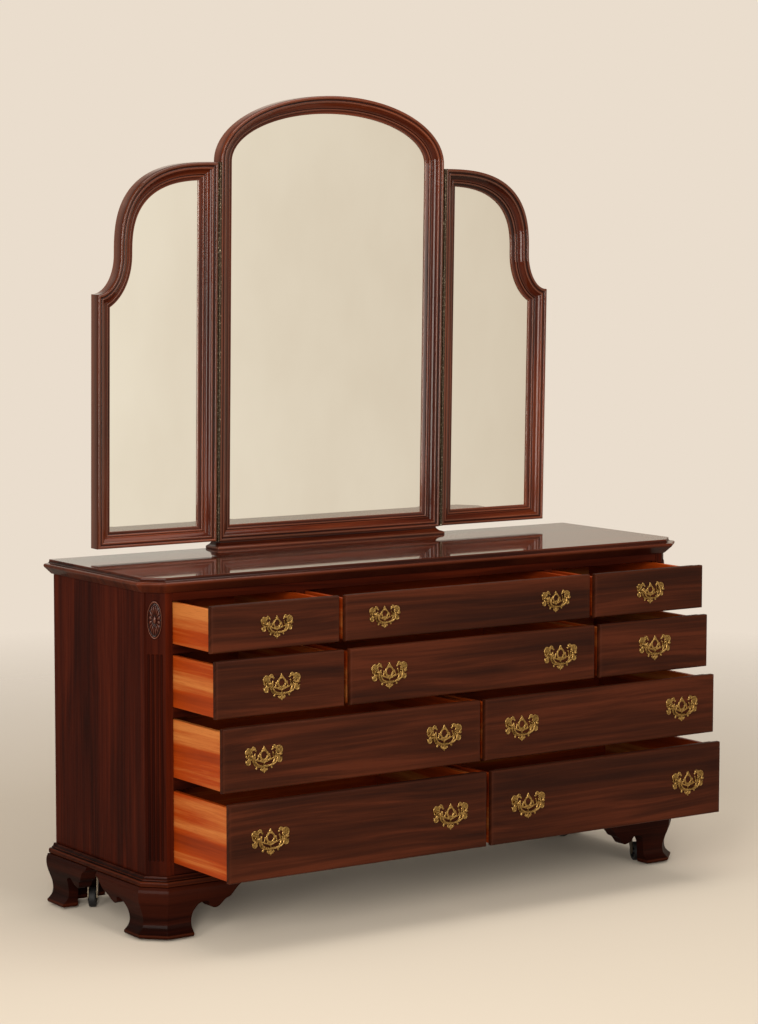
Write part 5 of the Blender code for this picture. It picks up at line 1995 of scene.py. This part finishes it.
@dataclass(frozen=True)
class Studio:
    """A pale seamless studio: backdrop, floor, lamps and the photograph's viewpoint."""

    backdrop: str = "#eaddcd"
    mirrored: tuple[str, str] = ("#fdf5e5", "#cbbda9")
    unlit: str = "#4a423a"
    floor: str = "#d3cabd"
    floor_marks: str = "#d9ccba"
    ambient: str = "#fff6ea"
    ambient_strength: float = 0.45
    floor_radius: float = 9.0
    viewpoint: Triple = (-4.1629, -5.9547, 1.689)
    yaw_deg: float = 34.496
    pitch_deg: float = 5.6
    roll_deg: float = 0.08
    focal_pixels: float = 2877.57
    photo_size: tuple[int, int] = (758, 1024)

    def build(self) -> None:
        """Set everything up."""
        scene = bpy.context.scene
        scene.view_settings.view_transform = "Standard"
        self.build_world()
        self.build_floor()
        self.build_camera()
        for lamp in (Softbox("key", (-3.5, -4.0, 1.75), width=0.8, height=3.0, watts=105.0),
                     Softbox("side", (-5.2, -2.9, 1.6), width=0.8, height=2.6, watts=62.0),
                     Softbox("fill", (0.3, -6.6, 2.7), width=2.4, height=2.4, watts=80.0),
                     Softbox("top", (0.2, -0.6, 4.2), width=3.0, height=3.0, watts=84.0)):
            lamp.build()

    def build_camera(self) -> None:
        """Stand the camera where the photograph was taken."""
        yaw, pitch, roll = map(math.radians, (self.yaw_deg, self.pitch_deg, self.roll_deg))
        right = Vector((math.cos(yaw), -math.sin(yaw), 0.0))
        ahead = Vector((math.sin(yaw) * math.cos(pitch), math.cos(yaw) * math.cos(pitch),
                        -math.sin(pitch)))
        up = right.cross(ahead)
        turn = Matrix((right, up, -ahead)).transposed() @ Matrix.Rotation(roll, 3, "Z")
        lens = bpy.data.cameras.new("viewpoint")
        lens.sensor_width = 36.0
        lens.lens = self.focal_pixels * lens.sensor_width / max(self.photo_size)
        holder = bpy.data.objects.new("viewpoint", lens)
        holder.matrix_world = Matrix.Translation(self.viewpoint) @ turn.to_4x4()
        bpy.context.scene.collection.objects.link(holder)
        bpy.context.scene.camera = holder

    def build_world(self) -> None:
        """Light evenly, and show the camera and the mirrors a plain pale backdrop.

        What shines also sees the studio's dim ceiling and its dim left end, which give
        the mouldings their dark reflections beside the lamps' bright ones.
        """
        world = bpy.data.worlds.new(WORLD_NAME)
        world.use_nodes = True
        tree = world.node_tree
        tree.nodes.clear()
        rays = add_node(tree, "LightPath")
        light = add_node(tree, "Background", {"Color": self.ambient, "Strength": self.ambient_strength})
        # The way looked in, of length one: its X is 1 at the right end, its Z is 1 overhead
        way = add_node(tree, "SeparateXYZ", {0: add_node(tree, "TexCoord").outputs["Generated"]})
        wall = layered(tree, *self.mirrored, way.outputs["X"], 0.38, 0.70)
        ceiling = add_node(tree, "MapRange", {0: way.outputs["Z"], 1: 0.30, 2: 0.62})
        left_end = add_node(tree, "MapRange", {0: way.outputs["X"], 1: -0.15, 2: -0.70})
        dim = add_node(tree, "Math", {0: ceiling, 1: left_end}, operation="MAXIMUM")
        room = add_node(tree, "Mix", {0: dim, 6: wall, 7: self.unlit}, data_type="RGBA").outputs[2]
        glossy = add_node(tree, "Background", {"Color": room, "Strength": 1.0})
        seen = add_node(tree, "Background", {"Color": self.backdrop, "Strength": 1.0})
        mirrored = add_node(tree, "MixShader", {0: rays.outputs["Is Glossy Ray"], 1: light, 2: glossy})
        whole = add_node(tree, "MixShader", {0: rays.outputs["Is Camera Ray"], 1: mirrored, 2: seen})
        add_node(tree, "OutputWorld", {"Surface": whole})
        bpy.context.scene.world = world

    def build_floor(self) -> None:
        """Lay a round pale floor that fades into the backdrop."""
        made, tree = new_material("painted_floor")
        place = add_node(tree, "TexCoord").outputs["Object"]
        distance = add_node(tree, "VectorMath", {0: place}, operation="LENGTH").outputs["Value"]
        # Roller marks are 6 mm wide
        marks = noise(tree, place, (160.0, 160.0, 160.0), 3.0)
        tone = layered(tree, self.floor, self.floor_marks, marks, 0.3, 0.7, 0.06)
        paint = add_node(tree, "BsdfDiffuse", {"Color": tone, "Roughness": 0.6})
        clear = add_node(tree, "BsdfTransparent")
        fade = add_node(tree, "MapRange", {0: distance, 1: 1.6, 2: 5.0})
        faded = add_node(tree, "MixShader", {0: fade, 1: paint, 2: clear})
        add_node(tree, "OutputMaterial", {"Surface": faded})
        turn = np.arange(96) * math.tau / 96
        share = np.array([0.02, 0.1, 0.25, 0.5, 1.0])
        circle = np.stack([np.cos(turn), np.sin(turn), 0 * turn], axis=-1)
        rings = self.floor_radius * share[:, None, None] * circle
        sheet = Shell()
        numbers = sheet.add_grid(rings, np.zeros((len(share), len(turn) + 1, 2)), close_cols=True)
        sheet.add_cap(numbers[0][::-1], rings[0][::-1, :2])
        sheet.faces = [faces[:, ::-1] for faces in sheet.faces]
        sheet.grain = [grain[:, ::-1] for grain in sheet.grain]
        sheet.to_object("studio_floor", made)


# The whole dresser


def build_case(plan: CasePlan, finishes: Finishes) -> None:
    """The fixed woodwork below the mirror, with its feet and casters."""
    MouldedSlab("moulded_top", "top_board", plan, top_section(plan.top)).build(finishes.top)
    MouldedSlab("moulded_base", "base_frame", plan,
                base_section(plan.bottom - BASE_MOULDING)).build(finishes.dark)
    for side in (1, -1):
        FlutedSide(plan, side).build(finishes.case)
        CarvedOval(plan, side).build(finishes.carved)
    levels = DrawerLevels(plan)
    FaceFrame(levels).build(finishes.case)
    DustFrames(levels).build(finishes.hidden)
    for side in (-1, 1):
        for front in (True, False):
            # The brackets of a back foot are shorter
            foot = BracketFoot(plan, side, front, reach=0.235 if front else 0.200)
            foot.build(finishes.dark)
            FootBlocks(foot).build(finishes.hidden)
            Glide(foot).build(finishes.steel)
            CasterWheel(foot.corner_name).build(finishes.rubber, finishes.steel)


def build_drawers(finishes: Finishes) -> None:
    """Each drawer's front, box and pulls."""
    names = [joint["name"] for joint in frame["joints"]]
    sizes, plate = PullSizes(), PiercedPlate()
    sheet = plate.sheet()
    for drawer in (name.removeprefix("slide_") for name in names if name.startswith("slide_")):
        pulls = [name.removeprefix("swing_") for name in names if name.startswith("swing_" + drawer)]
        DrawerFront(drawer).build(finishes.front)
        DrawerBox(drawer).build(finishes.side, finishes.box_floor)
        PullMounts(drawer, sizes, plate, sheet).build([joint_at("swing_" + pull)[0] for pull in pulls],
                                                      finishes.brass)
        for pull in pulls:
            Bail(pull, sizes).build(finishes.brass)


def build_mirror(plan: MirrorPlan, case: CasePlan, finishes: Finishes) -> None:
    """The mirror's three parts, its stand and its hinges."""
    looks = (finishes.moulding, finishes.plywood, finishes.glass)
    MirrorPart("centre_mirror", "cabinet", "mirror_frame", "mirror_glass", plan, plan.arch,
               plan.centre_place).build(*looks)
    lower = replace(plan, wing_top=plan.wing_top - plan.right_drop)
    for side, end, fitted in ((-1, "left", plan), (1, "right", lower)):
        MirrorPart("wing_mirror_" + end, "wing_" + end, "wing_frame_" + end, "wing_glass_" + end, fitted,
                   fitted.wing, fitted.wing_place(side)).build(*looks)
        PianoHinge(side, fitted).build(finishes.hinge)
    MirrorStand(case).build(finishes.moulding, finishes.hidden)


def dress_nodes(finishes: Finishes) -> None:
    """Give the nodes that stay their finishes."""
    looks = {"back_panel": finishes.back}
    looks |= {"caster_fork_" + end + side: finishes.fork
              for end in ("front", "back") for side in ("_left", "_right")}
    for name, finish in looks.items():
        for holder in bpy.data.objects[name].material_slots:
            holder.material = finish
        log.info("%s keeps its solid and takes %s", name, finish.name)


def main() -> None:
    """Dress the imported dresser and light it."""
    logging.basicConfig(level=logging.INFO, format="%(name)s: %(message)s")
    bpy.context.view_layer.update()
    case = CasePlan(front=float(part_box("side_left")[0][1]))
    finishes = Finishes()
    build_case(case, finishes)
    build_drawers(finishes)
    build_mirror(MirrorPlan(front=case.front + MIRROR_SETBACK), case, finishes)
    dress_nodes(finishes)
    Studio().build()


if __name__ == "__main__":
    main()
